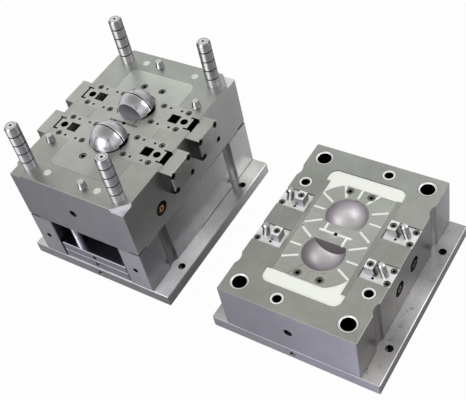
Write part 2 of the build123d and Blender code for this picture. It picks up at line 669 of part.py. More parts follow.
def interlock_pin():
    body = column(INTERLOCK_BODY_DIAMETER, INTERLOCK_BODY_DEPTH, CORE_TOP - INTERLOCK_BODY_DEPTH)
    cone = Cone(INTERLOCK_ROOT_DIAMETER / 2, INTERLOCK_TIP_DIAMETER / 2, INTERLOCK_HEIGHT, align=CENTRED)
    return body + Pos(0, 0, CORE_TOP) * cone


def interlock_socket():
    body = column(INTERLOCK_BODY_DIAMETER, INTERLOCK_BODY_DEPTH, CAVITY_TOP - INTERLOCK_BODY_DEPTH)
    tip = INTERLOCK_TIP_DIAMETER / 2 + PIN_FIT
    root = INTERLOCK_ROOT_DIAMETER / 2 + PIN_FIT
    depth = INTERLOCK_HEIGHT + INTERLOCK_END_ROOM
    return body - Pos(0, 0, CAVITY_TOP - depth) * Cone(tip, root, depth, align=CENTRED)


# Ejector set

def return_pin_place():
    return EJECTOR_WIDTH / 2 - RETURN_PIN_INSET_X, PLATE_LENGTH / 2 - RETURN_PIN_INSET_Y


def runner_pin_places():
    return [(BRANCH_OFFSET, 0), (-BRANCH_OFFSET, 0)]


def dome_pin_places():
    return [(DOME_PIN_OFFSET_X, row * CAVITY_PITCH / 2 + DOME_PIN_OFFSET_Y) for row in (-1, 1)]


def ejector_pin_places():
    return runner_pin_places() + dome_pin_places()


def ejector_plate():
    body = plate(EJECTOR_WIDTH, EJECTOR_LENGTH, EJECTOR_PLATE_THICKNESS, EJECTOR_BASE)
    hole = column(SCREW_EJECTOR[1] + 2 * COUNTERBORE_ROOM, SCREW_EJECTOR[2] + SCREW_HEAD_DROP, EJECTOR_BASE)
    hole += column(SCREW_EJECTOR[0] + 2 * SEAT_FIT, EJECTOR_PLATE_THICKNESS, EJECTOR_BASE)
    body -= at_corners(hole, *ejector_screw_place())
    middle = EJECTOR_BASE + EJECTOR_PLATE_THICKNESS / 2
    return body - Pos(0, EJECTOR_END_ROOM, 0) * front_hole(0, middle, EJECTOR_FRONT_HOLE)


def retainer_plate():
    body = plate(EJECTOR_WIDTH, EJECTOR_LENGTH, RETAINER_THICKNESS, RETAINER_BASE)
    thread = column(SCREW_EJECTOR[0] + 2 * SEAT_FIT, THREAD_REACH, RETAINER_BASE)
    body -= at_corners(thread, *ejector_screw_place())
    body -= at_corners(headed_hole(RETURN_PIN_DIAMETER, RETURN_PIN_HEAD), *return_pin_place())
    small = headed_hole(EJECTOR_PIN_DIAMETER, EJECTOR_PIN_HEAD)
    body -= [Pos(x, y, 0) * small for x, y in ejector_pin_places()]
    body -= headed_hole(PULLER_DIAMETER, PULLER_HEAD)
    middle = RETAINER_BASE + RETAINER_THICKNESS / 2
    return body - Pos(0, EJECTOR_END_ROOM, 0) * front_hole(0, middle, EJECTOR_FRONT_HOLE)


def headed_hole(diameter, head):
    hole = column(head + 2 * SEAT_FIT, EJECTOR_HEAD_HEIGHT + SEAT_FIT, RETAINER_BASE)
    return hole + column(diameter + 2 * SEAT_FIT, RETAINER_THICKNESS, RETAINER_BASE)


def headed_pin(diameter, head, top):
    pin = column(diameter, top - RETAINER_BASE, RETAINER_BASE)
    return pin + column(head, EJECTOR_HEAD_HEIGHT, RETAINER_BASE)


def ejector_screw_place():
    return EJECTOR_WIDTH / 2 - EJECTOR_SCREW_INSET_X, PLATE_LENGTH / 2 - EJECTOR_SCREW_INSET_Y


def ejector_pins():
    """Runner pins end under the runner, dome pins end in the dome's surface."""
    short = headed_pin(EJECTOR_PIN_DIAMETER, EJECTOR_PIN_HEAD, CORE_TOP - RUNNER_DIAMETER / 2)
    pins = [Pos(x, y, 0) * short for x, y in runner_pin_places()]
    long = headed_pin(EJECTOR_PIN_DIAMETER, EJECTOR_PIN_HEAD, CORE_TOP + CORE_RADIUS)
    for row, (x, y) in zip((-1, 1), dome_pin_places()):
        dome = Pos(0, row * CAVITY_PITCH / 2, CORE_TOP) * Sphere(CORE_RADIUS - SEAT_FIT)
        below = span(-PLATE_EDGE, PLATE_EDGE, -PLATE_LENGTH, PLATE_LENGTH, 0, CORE_TOP)
        pins.append(Pos(x, y, 0) * long & (dome + below))
    return pins


def sprue_puller():
    return headed_pin(PULLER_DIAMETER, PULLER_HEAD, CORE_TOP - PULLER_DROP)


# Water

def water_line(level, y):
    """Bore across a half with a counterbore for a hose nipple at each end."""
    stock = Cylinder(WATER_BORE / 2, PLATE_WIDTH)
    mouth = Cylinder(WATER_COUNTERBORE / 2, WATER_COUNTERBORE_DEPTH)
    middle = PLATE_EDGE - WATER_COUNTERBORE_DEPTH / 2
    line = stock + Pos(0, 0, middle) * mouth + Pos(0, 0, -middle) * mouth
    return Pos(0, y, level) * Rot(0, 90, 0) * line


def nipple(level, y, side):
    """Hose nipple screwed into the end of a water bore."""
    hexagon = extrude(RegularPolygon(NIPPLE_HEX / 2, 6, major_radius=False), NIPPLE_HEX_HEIGHT)
    thread = Pos(0, 0, -THREAD_REACH) * Cylinder(WATER_BORE / 2 - SEAT_FIT, THREAD_REACH, align=CENTRED)
    tail = Cylinder(NIPPLE_HOSE_DIAMETER / 2, NIPPLE_LENGTH, align=CENTRED)
    body = hexagon + thread + tail
    body -= Pos(0, 0, -THREAD_REACH) * Cylinder(NIPPLE_BORE / 2, THREAD_REACH + NIPPLE_LENGTH, align=CENTRED)
    seat = PLATE_EDGE - WATER_COUNTERBORE_DEPTH
    return Pos(side * seat, y, level) * Rot(0, side * 90, 0) * body


# Fixed half, static plates

def top_clamp_plate():
    body = clamp_plate() - column(LOCATING_RING_DIAMETER + 2 * SEAT_FIT, LOCATING_RING_HEIGHT, 0)
    body -= column(SPRUE_FLANGE_DIAMETER + 2 * SEAT_FIT, LOCATING_RING_HEIGHT + SPRUE_FLANGE_HEIGHT, 0)
    return body - column(SPRUE_BUSH_DIAMETER + 2 * SEAT_FIT, CLAMP_THICKNESS, 0)


def cavity_plate():
    body = plate(PLATE_WIDTH, PLATE_LENGTH, CAVITY_PLATE_THICKNESS, CLAMP_THICKNESS)
    body -= insert_block(0, CAVITY_FLOOR)
    body -= side_grooves(CAVITY_PLATE_THICKNESS, CLAMP_THICKNESS)
    body -= corner_wedges(PRY_SLOT_LEG, PRY_SLOT_HEIGHT, CLAMP_THICKNESS)
    body -= at_corners(pillar_seat(CLAMP_THICKNESS, CAVITY_PLATE_THICKNESS), *pillar_place())
    body -= [Pos(x, y, 0) * interlock_seat(CAVITY_TOP) for x, y in interlock_places(-1)]
    for cut in [wedge_seat(), angle_pin_stock(SEAT_FIT), wedge_dowel(SEAT_FIT)] + wedge_screw_holes():
        body -= every_unit(cut)
    body -= column(SPRUE_BUSH_DIAMETER + 2 * SEAT_FIT, CAVITY_PLATE_THICKNESS, CLAMP_THICKNESS)
    frame_thread = column(SCREW_FRAME[0] + 2 * SEAT_FIT, FRAME_SCREW_REACH, CLAMP_THICKNESS)
    body -= at_corners(frame_thread, *frame_screw_places())
    body -= insert_screw_holes(CAVITY_TOP, CAVITY_FLOOR)
    body -= [water_line(WATER_CAVITY_LEVEL, y) for y in water_cavity_rows()]
    middle = CLAMP_THICKNESS + CAVITY_PLATE_THICKNESS / 2
    return body - front_hole(0, middle, EYEBOLT_HOLE_DIAMETER)


def water_cavity_rows():
    return WATER_CAVITY_SPACING / 2, -WATER_CAVITY_SPACING / 2


def cavity_pocket():
    """Hollow of one dome with its upright flat at -Y."""
    ball = Pos(0, 0, CAVITY_TOP) * Sphere(CAVITY_RADIUS)
    far = CAVITY_RADIUS + OVERCUT
    keep = span(-far, far, -CAVITY_FLAT_OFFSET, far, CAVITY_TOP - far, CAVITY_TOP + far)
    return ball & keep


def land():
    """Raised sealing face round both cavities, cut short at the ends of the insert."""
    top = CAVITY_TOP - RELIEF_DEPTH
    end = INSERT_LENGTH / 2 - LAND_END_INSET
    back, front = both_rows(column(2 * LAND_RADIUS, RELIEF_DEPTH, top))
    middle = span(-LAND_RADIUS, LAND_RADIUS, -CAVITY_PITCH / 2, CAVITY_PITCH / 2, top, CAVITY_TOP)
    faces = back + front + middle
    sides = span(LAND_HALF_WIDTH, INSERT_WIDTH, -end, end, top, CAVITY_TOP)
    faces = faces + sides + mirror(sides, about=Plane.YZ)
    return faces & span(-INSERT_WIDTH, INSERT_WIDTH, -end, end, top, CAVITY_TOP)


def vents():
    """Shallow vents that run out from a cavity, kept behind a narrow sealing dam."""
    start = CAVITY_RADIUS + VENT_DAM
    end = LAND_RADIUS + 2 * OVERCUT
    groove = span(start, end, -VENT_WIDTH / 2, VENT_WIDTH / 2, CAVITY_TOP - VENT_DEPTH, CAVITY_TOP)
    fan = [Rot(0, 0, angle) * groove for angle in VENT_ANGLES]
    limit = span(-LAND_HALF_WIDTH, LAND_HALF_WIDTH, -LAND_RADIUS, 2 * LAND_RADIUS, 0, CAVITY_TOP)
    return [groove & limit for groove in fan]


def cavity_insert():
    body = insert_block(SEAT_FIT, CAVITY_FLOOR)
    relief = CAVITY_TOP - RELIEF_DEPTH
    top = span(-INSERT_WIDTH, INSERT_WIDTH, -INSERT_LENGTH, INSERT_LENGTH, relief, CAVITY_TOP)
    body -= top - land()
    for cut in [cavity_pocket()] + vents():
        body -= both_rows(cut)
    body -= runner(CAVITY_TOP, -1)
    body -= column(SPRUE_BUSH_DIAMETER + 2 * SEAT_FIT, INSERT_DEPTH, CAVITY_FLOOR)
    body -= [water_line(WATER_CAVITY_LEVEL, y) for y in water_cavity_rows()]
    return body - insert_screw_holes(CAVITY_TOP, CAVITY_FLOOR)


def sprue_bush():
    """Flanged bush with the tapered sprue; the runner crosses its end."""
    base = LOCATING_RING_HEIGHT
    height = CAVITY_TOP - base
    body = column(SPRUE_BUSH_DIAMETER, height, base)
    body += column(SPRUE_FLANGE_DIAMETER, SPRUE_FLANGE_HEIGHT, base)
    sprue = Cone(SPRUE_INLET_DIAMETER / 2, SPRUE_DIAMETER / 2, height, align=CENTRED)
    return body - Pos(0, 0, base) * sprue - runner(CAVITY_TOP, -1)


def locating_ring():
    body = column(LOCATING_RING_DIAMETER, LOCATING_RING_HEIGHT, 0)
    return body - column(LOCATING_RING_BORE, LOCATING_RING_HEIGHT, 0)


# Wedge units of the fixed half

def wedge_seat():
    """Recess in the edge of the cavity plate for a wedge block."""
    half = WEDGE_WIDTH / 2 + SEAT_FIT
    return span(INSERT_WIDTH / 2 - OVERCUT, PLATE_EDGE + OVERCUT, -half, half, WEDGE_BASE, CAVITY_TOP)


def angle_pin_stock(room):
    """Inclined pin from its tail in the plate to above its tip."""
    return inclined(
        ANGLE_PIN_DIAMETER + 2 * room, ANGLE_PIN_INSET, CAVITY_TOP, ANGLE_PIN_TILT,
        WEDGE_BASE - ANGLE_PIN_TAIL - room, CAVITY_TOP + ANGLE_PIN_RISE,
    )


def angle_pin():
    pin = angle_pin_stock(0)
    tip = pin.faces().sort_by(Axis.Z)[-1]
    return chamfer(tip.edges(), ANGLE_PIN_TIP)


def wedge_block():
    """Bolted block whose sloped nose locks a slide."""
    half = WEDGE_WIDTH / 2
    inner = PLATE_EDGE - WEDGE_LENGTH
    base = span(inner, PLATE_EDGE, -half, half, WEDGE_BASE, WEDGE_TOP)
    profile = Polygon(
        (PLATE_EDGE - NOSE_INNER, 0), (PLATE_EDGE - NOSE_BASE_OUTER, 0),
        (PLATE_EDGE - NOSE_TOP_OUTER, NOSE_HEIGHT), (PLATE_EDGE - NOSE_INNER, NOSE_HEIGHT), align=None,
    )
    nose = Pos(0, 0, WEDGE_TOP) * extrude(Plane.XZ * profile, NOSE_WIDTH / 2, both=True)
    body = base + nose
    for cut in wedge_screw_holes() + [angle_pin_stock(SEAT_FIT), wedge_dowel(SEAT_FIT)]:
        body -= cut
    return body


def wedge_screw_places():
    """Distance from the middle, offset along Y and level of the head of each screw."""
    tail = PLATE_EDGE - WEDGE_SCREW_INSET
    nose = PLATE_EDGE - (NOSE_INNER + NOSE_TOP_OUTER) / 2
    return [
        (tail, -WEDGE_SCREW_OFFSET, WEDGE_TOP),
        (tail, WEDGE_SCREW_OFFSET, WEDGE_TOP),
        (nose, 0, WEDGE_TOP + NOSE_HEIGHT),
    ]


def wedge_screw_holes():
    return [
        Pos(s, w, 0) * screw_hole(SCREW_SMALL, top, top - SCREW_HEAD_DROP, WEDGE_BASE - THREAD_REACH)
        for s, w, top in wedge_screw_places()
    ]


def wedge_screws():
    return [
        Pos(s, w, 0) * socket_screw(SCREW_SMALL, top - SCREW_HEAD_DROP, WEDGE_BASE - THREAD_REACH)
        for s, w, top in wedge_screw_places()
    ]


def wedge_dowel(room):
    top = WEDGE_TOP - WEDGE_DOWEL_DROP if room == 0 else WEDGE_TOP
    bottom = WEDGE_TOP - WEDGE_DOWEL_DROP - WEDGE_DOWEL_LENGTH
    pin = column(WEDGE_DOWEL_DIAMETER + 2 * room, top - bottom, bottom)
    return Pos(PLATE_EDGE - WEDGE_DOWEL_INSET, WEDGE_DOWEL_OFFSET, 0) * pin


def frame_screws(top):
    """Long screws that hold a half together from its clamp plate."""
    screw = Rot(180, 0, 0) * socket_screw(SCREW_FRAME, -SCREW_HEAD_DROP, -top)
    return at_corners(screw, *frame_screw_places())


def build_moving_half():
    save("bottom_clamp_plate", MOVING * bottom_clamp_plate())
    for name, side in SIDES.items():
        save(f"spacer_block_{name}", MOVING * spacer_block(side))
    save("core_plate", MOVING * core_plate())
    save("core_insert", MOVING * core_insert())
    for name, row in ROWS.items():
        hole = column(EJECTOR_PIN_DIAMETER + 2 * PIN_FIT, INSERT_DEPTH + CORE_RADIUS, CORE_FLOOR)
        holes = [Pos(x, y, 0) * hole for x, y in dome_pin_places()]
        save(f"dome_core_{name}", MOVING * (in_row(dome_core(), row) - holes))
    pair = gib_outline_pair()
    for cut in gib_screw_holes() + gib_dowel_column(SEAT_FIT, CORE_TOP):
        pair -= cut
    screw = socket_screw(SCREW_SMALL, CORE_TOP - SCREW_HEAD_DROP, SLIDE_FLOOR - THREAD_REACH)
    gib_screws = [Pos(s, w, 0) * screw for s, w in gib_places(GIB_SCREW_FIRST, GIB_SCREW_LAST)]
    gib_dowels = gib_dowel_column(0, CORE_TOP)
    for side_name, side in SIDES.items():
        for row_name, row in ROWS.items():
            unit = f"{side_name}_{row_name}"
            save(f"slide_{unit}", MOVING * in_unit(slide_body(), side, row))
            save(f"gibs_{unit}", MOVING * in_unit(pair, side, row))
            save(f"stop_block_{unit}", MOVING * in_unit(stop_block(), side, row))
    save("gib_screws", *[MOVING * part for one in gib_screws for part in every_unit(one)])
    save("gib_dowels", *[MOVING * part for pin in gib_dowels for part in every_unit(pin)])
    lying = stop_screws(hole=False)
    save("stop_block_screws", *[MOVING * part for one in lying for part in every_unit(one)])
    save("interlock_pins", *[MOVING * Pos(x, y, 0) * interlock_pin() for x, y in interlock_places(1)])
    save("core_insert_screws", *[MOVING * screw for screw in insert_screws(CORE_TOP, CORE_FLOOR)])
    save("core_frame_screws", *[MOVING * screw for screw in frame_screws(CORE_BASE + FRAME_SCREW_REACH)])
    level = CORE_BASE + WATER_CORE_HEIGHT
    save("core_water_nipples", *[MOVING * nipple(level, WATER_CORE_Y, side) for side in (-1, 1)])


def build_ejector_set():
    save("ejector_plate", MOVING * ejector_plate())
    save("ejector_retainer_plate", MOVING * retainer_plate())
    button = column(STOP_BUTTON_DIAMETER, STOP_BUTTON_HEIGHT, CLAMP_THICKNESS)
    save("stop_buttons", *[MOVING * shape for shape in at_corners(button, *ejector_screw_place())])
    pin = headed_pin(RETURN_PIN_DIAMETER, RETURN_PIN_HEAD, CORE_TOP)
    save("return_pins", *[MOVING * shape for shape in at_corners(pin, *return_pin_place())])
    save("ejector_pins", *[MOVING * shape for shape in ejector_pins()])
    save("sprue_puller", MOVING * sprue_puller())
    reach = EJECTOR_PLATE_THICKNESS + THREAD_REACH - SCREW_HEAD_DROP
    screw = Rot(180, 0, 0) * socket_screw(SCREW_EJECTOR, 0, -reach)
    raised = Pos(0, 0, EJECTOR_BASE + SCREW_HEAD_DROP) * screw
    save("ejector_plate_screws", *[MOVING * shape for shape in at_corners(raised, *ejector_screw_place())])


def build_fixed_half():
    save("top_clamp_plate", FIXED * top_clamp_plate())
    save("cavity_plate", FIXED * cavity_plate())
    save("cavity_insert", FIXED * cavity_insert())
    save("sprue_bush", FIXED * sprue_bush())
    save("locating_ring", FIXED * locating_ring())
    for side_name, side in SIDES.items():
        for row_name, row in ROWS.items():
            unit = f"{side_name}_{row_name}"
            save(f"wedge_block_{unit}", FIXED * in_unit(wedge_block(), side, row))
            save(f"angle_pin_{unit}", FIXED * in_unit(angle_pin(), side, row))
    save("wedge_screws", *[FIXED * part for screw in wedge_screws() for part in every_unit(screw)])
    save("wedge_dowels", *[FIXED * part for part in every_unit(wedge_dowel(0))])
    save("interlock_sockets", *[FIXED * Pos(x, y, 0) * interlock_socket() for x, y in interlock_places(-1)])
    save("cavity_insert_screws", *[FIXED * screw for screw in insert_screws(CAVITY_TOP, CAVITY_FLOOR)])
    save("cavity_frame_screws", *[FIXED * screw for screw in frame_screws(CLAMP_THICKNESS + FRAME_SCREW_REACH)])
    save("cavity_water_nipples", *[
        FIXED * nipple(WATER_CAVITY_LEVEL, y, side) for y in water_cavity_rows() for side in (-1, 1)
    ])


def build_guides():
    x, y = pillar_place()
    for side_name, side in SIDES.items():
        for row_name, row in ROWS.items():
            place = Pos(side * x, row * y, 0)
            save(f"guide_pillar_{side_name}_{row_name}", MOVING * place * guide_pillar())
            save(f"guide_bush_{side_name}_{row_name}", FIXED * place * guide_bush())


os.makedirs("parts", exist_ok=True)
build_moving_half()
build_ejector_set()
build_fixed_half()
build_guides()
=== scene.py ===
import math

import bpy
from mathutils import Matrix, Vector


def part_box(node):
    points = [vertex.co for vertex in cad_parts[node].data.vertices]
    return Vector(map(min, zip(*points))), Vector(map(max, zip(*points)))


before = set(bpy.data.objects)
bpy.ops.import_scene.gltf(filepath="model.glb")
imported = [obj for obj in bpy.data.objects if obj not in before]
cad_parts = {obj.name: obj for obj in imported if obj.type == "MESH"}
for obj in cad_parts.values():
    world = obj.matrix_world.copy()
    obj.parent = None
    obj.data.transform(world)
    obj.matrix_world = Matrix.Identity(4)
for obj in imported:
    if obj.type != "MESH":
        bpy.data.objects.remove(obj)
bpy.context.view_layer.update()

# Viewpoint
# A camera above the right front corner that looks down on both halves, turned by a few degrees.
camera = bpy.data.objects.new("viewpoint", bpy.data.cameras.new("viewpoint"))
camera.location = (0.58312, -0.62975, 1.01907)
camera.rotation_euler = [math.radians(angle) for angle in (41.9296, 10.1908, 31.5671)]
camera.data.lens = 69.595
camera.data.sensor_width = 36.0
bpy.context.scene.collection.objects.link(camera)
bpy.context.scene.camera = camera
bpy.context.scene.view_settings.view_transform = "Standard"


# Studio
# A pale floor in surroundings that look white and that the steel mirrors darker overhead. One wide soft
# lamp stands in front of the halves and another to the right.
class Signal:
    """A shader socket that takes part in arithmetic: every operator adds one Math node."""

    def __init__(self, socket):
        self.socket = socket

    def node(self, kind, settings, sockets, out=0):
        """Adds a node of that type, first its settings, then the values or links of its sockets."""
        tree = self.socket.id_data
        made = tree.nodes.new("ShaderNode" + kind)
        for name, value in settings.items():
            if name == "stops":
                ramp = made.color_ramp.elements
                while len(ramp) < len(value):
                    ramp.new(1.0)
                for stop, (place, colour) in zip(ramp, value):
                    stop.position = place
                    stop.color = colour
            else:
                setattr(made, name, value)
        for name, value in sockets.items():
            if isinstance(value, Signal):
                tree.links.new(value.socket, made.inputs[name])
            else:
                made.inputs[name].default_value = value
        return Signal(made.outputs[out])

    def math(self, operation, *others):
        """The result of that operation on this signal and the others."""
        return self.node("Math", {"operation": operation}, dict(enumerate((self, *others))))

    def __add__(self, other):
        return self.math("ADD", other)

    def __sub__(self, other):
        return self.math("SUBTRACT", other)

    def __rsub__(self, other):
        return self.node("Math", {"operation": "SUBTRACT"}, {0: other, 1: self})

    def __mul__(self, other):
        return self.math("MULTIPLY", other)

    def __abs__(self):
        return self.math("ABSOLUTE")

    __radd__ = __add__
    __rmul__ = __mul__


def split(vector):
    """The three parts of a vector."""
    parts = vector.node("SeparateXYZ", {}, {0: vector}).socket.node.outputs
    return [Signal(part) for part in parts]


def blend(share, first, second):
    """Colour that goes from the first to the second with the share."""
    return share.node("Mix", {"data_type": "RGBA"}, {0: share, 6: first, 7: second}, out=2)


FLOOR_HALF = 3.0
FLOOR_WHITE_SEEN = 0.975
FLOOR_WHITE_MIRRORED = 0.10
WHITE = (1, 1, 1, 1)

corners = [(i * FLOOR_HALF, j * FLOOR_HALF, 0) for i, j in ((-1, -1), (1, -1), (1, 1), (-1, 1))]
floor_mesh = bpy.data.meshes.new("studio_floor")
floor_mesh.from_pydata(corners, [], [(0, 1, 2, 3)])
floor = bpy.data.objects.new("studio_floor", floor_mesh)
bpy.context.scene.collection.objects.link(floor)

pale = bpy.data.materials.new("pale_floor")
pale.use_nodes = True
pale.node_tree.nodes.clear()
floor_output = pale.node_tree.nodes.new("ShaderNodeOutputMaterial")
seen = Signal(pale.node_tree.nodes.new("ShaderNodeLightPath").outputs["Is Camera Ray"])
mirrored = Signal(seen.socket.node.outputs["Is Glossy Ray"])
through = Signal(seen.socket.node.outputs["Is Transmission Ray"])
lit = seen.node("BsdfDiffuse", {}, {"Color": (0.55, 0.545, 0.57, 1)})
white = seen.node("Emission", {}, {"Color": WHITE, "Strength": 1.0})
white_share = seen * FLOOR_WHITE_SEEN + mirrored * FLOOR_WHITE_MIRRORED + through * FLOOR_WHITE_MIRRORED
floor_mix = seen.node("MixShader", {}, {0: white_share, 1: lit, 2: white})
pale.node_tree.links.new(floor_mix.socket, floor_output.inputs["Surface"])
floor_mesh.materials.append(pale)

world = bpy.data.worlds.new("studio")
world.use_nodes = True
world.node_tree.nodes.clear()
sky_output = world.node_tree.nodes.new("ShaderNodeOutputWorld")
direction = Signal(world.node_tree.nodes.new("ShaderNodeTexCoord").outputs["Generated"])
height = split(direction)[2]
sky = height.node("ValToRGB", {"stops": [
    (0.0, (1.0, 1.0, 1.0, 1)),
    (0.45, (1.0, 1.0, 0.98, 1)),
    (0.66, (0.72, 0.73, 0.69, 1)),
    (0.86, (0.50, 0.50, 0.47, 1)),
    (1.0, (0.42, 0.42, 0.40, 1)),
]}, {0: height})
sky_seen = Signal(world.node_tree.nodes.new("ShaderNodeLightPath").outputs["Is Camera Ray"])
surrounding = height.node("Background", {}, {"Color": blend(sky_seen, sky, WHITE), "Strength": 1.0})
world.node_tree.links.new(surrounding.socket, sky_output.inputs["Surface"])
bpy.context.scene.world = world

LAMP_AIM_HEIGHT = 0.1


def soft_lamp(name, place, width, length, power, colour):
    """Rectangular lamp at that place, turned towards a point just above the middle of the floor."""
    light = bpy.data.lights.new(name, "AREA")
    light.shape = "RECTANGLE"
    light.size = width
    light.size_y = length
    light.energy = power
    light.color = colour
    lamp = bpy.data.objects.new(name, light)
    x, y, z = place
    lamp.location = place
    lamp.rotation_euler = (math.atan2(math.hypot(x, y), z - LAMP_AIM_HEIGHT), 0, math.atan2(x, -y))
    bpy.context.scene.collection.objects.link(lamp)


soft_lamp("front_lamp", (-0.45, -2.1, 0.9), width=1.5, length=1.6, power=22.0, colour=(0.98, 0.98, 1.0))
soft_lamp("right_lamp", (1.9, 0.9, 1.3), width=1.1, length=1.8, power=14.0, colour=(1.0, 0.99, 0.97))


# Core plate
# The thick plate that holds the core insert and carries the slides, of mould steel ground on all sides,
# in painted light that is bluish at the ends. Holes and slots are painted dark inside as shade, and the
# dropped corners on the right get a painted highlight.
def fade(value, low, high):
    """0 below low, 1 above high, and a smooth rise between them."""
    return value.node("MapRange", {"interpolation_type": "SMOOTHSTEP"}, {0: value, 1: low, 2: high})


def band(value, low, high, soft=0.0002):
    """1 between low and high and 0 outside."""
    return fade(value, low - soft, low + soft) - fade(value, high - soft, high + soft)


def radius(across, along):
    """Distance from the axis at 0, 0: the root of the sum of both squares."""
    return (across * across + along * along).math("SQRT")


def outline(x, y, half_x, half_y, corner):
    """Distance beyond the outline of a rectangle with rounded corners, negative inside."""
    beyond_x = abs(x) - (half_x - corner)
    beyond_y = abs(y) - (half_y - corner)
    outside = radius(beyond_x.math("MAXIMUM", 0.0), beyond_y.math("MAXIMUM", 0.0))
    within = beyond_x.math("MAXIMUM", beyond_y).math("MINIMUM", 0.0)
    return outside + within - corner


def scaled(colour, factor):
    """The colour times a factor that varies over the surface."""
    return factor.node("VectorMath", {"operation": "SCALE"}, {0: colour, "Scale": factor})


def shade(colour, factor=1):
    """The colour times a fixed factor, kept within 1, with full alpha."""
    return (*[min(part * factor, 1.0) for part in colour], 1)


def even(grey):
    """The same grey from one edge of a face to the other."""
    return ((grey, grey, grey),) * 2


def tones(place, *colours):
    """Colour that runs evenly through the given ones as the place goes from 0 to 1."""
    last = len(colours) - 1
    stops = [(i / last, shade(colour)) for i, colour in enumerate(colours)]
    return place.node("ValToRGB", {"stops": stops}, {0: place})


def paint(share, colour, over):
    """The colour with another laid over it where the share is 1."""
    return blend(share, colour, shade(over))


class Finish:
    """A metal finish under way: its coordinates, the way its faces look and the links of its shader."""

    def __init__(self, name):
        self.material = bpy.data.materials.new(name)
        self.material.use_nodes = True
        self.shader = self.material.node_tree.nodes["Principled BSDF"]
        self.shader.inputs["Metallic"].default_value = 1.0
        self.place = Signal(self.material.node_tree.nodes.new("ShaderNodeTexCoord").outputs["Object"])
        self.x, self.y, self.z = split(self.place)
        self.facing = split(self.normal())

    def normal(self):
        """The direction that the face looks in."""
        return self.place.node("NewGeometry", {}, {}, out=1)

    def upward(self, low=0.8, high=0.95):
        """1 on faces that look up."""
        return fade(self.facing[2], low, high)

    def upright(self, low=0.2, high=0.6):
        """1 on faces that stand."""
        return 1 - fade(abs(self.facing[2]), low, high)

    def sideways(self):
        """1 on faces that look left or right."""
        return fade(abs(self.facing[0]), 0.5, 0.8)

    def grain(self, stretch, detail=3.0):
        """Noise from 0 to 1 with that many cells to the metre along each axis."""
        stretched = self.place.node("Mapping", {}, {"Vector": self.place, "Scale": stretch})
        sockets = {"Vector": stretched, "Scale": 1.0, "Detail": detail, "Roughness": 0.55}
        return self.place.node("TexNoise", {}, sockets)

    def relief(self, height, strength, distance):
        """Normal that follows that height."""
        sockets = {"Strength": strength, "Distance": distance, "Height": height}
        return self.place.node("Bump", {}, sockets)

    def edge_light(self, reach):
        """Normal that turns over the edges within the reach, and how much it differs from the face's."""
        rounded = self.place.node("Bevel", {"samples": 4}, {"Radius": reach})
        sockets = {0: rounded, 1: self.normal()}
        likeness = self.place.node("VectorMath", {"operation": "DOT_PRODUCT"}, sockets, out=1)
        return rounded, fade(1 - likeness, 0.02, 0.25)

    def connect(self, **signals):
        """Links each signal to the shader socket of that name."""
        for name, signal in signals.items():
            self.material.node_tree.links.new(signal.socket, self.shader.inputs[name.replace("_", " ")])
        return self

    def dress(self, *names):
        """Gives the CAD nodes this finish."""
        for name in names:
            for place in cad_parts[name].material_slots:
                place.material = self.material


PLATE_HALF_WIDTH = 0.100
PLATE_HALF_LENGTH = 0.140
# Reach and colour of the painted highlight along edges that lean to the front.
EDGE_LIGHT_REACH = 0.0005
EDGE_HIGHLIGHT_COLOUR = (0.92, 0.92, 0.93, 1)
CHAMFER_SHADE = 0.35


def ground(finish, middle, top, ends, sides, lines=(700, 60, 700), cloud=0.14, rough=0.30, edge_highlight_share=0.22,
           right_edge=0.3, front_edge=0.0):
    """Ground steel whose top, ends and sides carry painted light in tones of their own. Tops and sides
    take their tones from front to back, ends from left to right, and clouds, smears and grinding lines
    lighten or darken them. Chamfers get painted shade, those on the right and in front by a share more
    each, and edges that lean to the front a painted highlight. Links gloss and relief, and returns the
    colour, which a piece may paint over."""
    fine = finish.grain(lines, 2.0)
    patches = finish.grain((9, 9, 9), 4.0)
    smears = finish.grain((30, 30, 6))
    onward = finish.y * (0.5 / PLATE_HALF_LENGTH) + 0.5
    rightward = (finish.x - middle) * (0.5 / PLATE_HALF_WIDTH) + 0.5
    level = fade(abs(finish.facing[2]), 0.5, 0.8)
    standing = blend(finish.sideways(), tones(rightward, *ends), tones(onward, *sides))
    base = blend(level, standing, tones(onward, *top))
    tone = (patches - 0.5) * (cloud * 3) + (smears - 0.5) * (cloud * 2) + (fine - 0.5) * 0.30 + 1.0
    # Chamfers get painted shade, more on the right and in front.
    slant = band(abs(finish.facing[2]), 0.55, 0.85, 0.03)
    tone = tone * (1 - slant * (fade(finish.facing[0], 0.4, 0.6) * right_edge + CHAMFER_SHADE))
    tone = tone * (1 - slant * fade(0 - finish.facing[1], 0.4, 0.6) * front_edge)
    # Edges that lean to the front get a painted highlight.
    rounded, highlight_edges = finish.edge_light(EDGE_LIGHT_REACH)
    lean = split(rounded)[1]
    finish.connect(Roughness=rough + (fine - 0.5) * 0.12 + (patches - 0.5) * 0.10,
                   Normal=finish.relief(fine, strength=0.06, distance=0.0004))
    return blend(highlight_edges * fade(0 - lean, 0.2, 0.5) * edge_highlight_share, scaled(base, tone), EDGE_HIGHLIGHT_COLOUR)


def hidden(finish, middle):
    """1 on standing faces inside the outline of a plate: walls of holes, slots and channels."""
    inside = 1 - fade(abs(finish.x - middle), PLATE_HALF_WIDTH - 0.0012, PLATE_HALF_WIDTH - 0.0004)
    inside = inside * (1 - fade(abs(finish.y), PLATE_HALF_LENGTH - 0.0012, PLATE_HALF_LENGTH - 0.0004))
    return inside * finish.upright()


INSERT_HALF_WIDTH = 0.057
INSERT_HALF_LENGTH = 0.104
INSERT_CORNER = 0.012


def insert_joint(finish, middle):
    """1 along the fine joint between the top of a plate and its insert."""
    beyond = outline(finish.x - middle, finish.y, INSERT_HALF_WIDTH, INSERT_HALF_LENGTH, INSERT_CORNER)
    return band(beyond, -0.0003, 0.0004) * finish.upward()


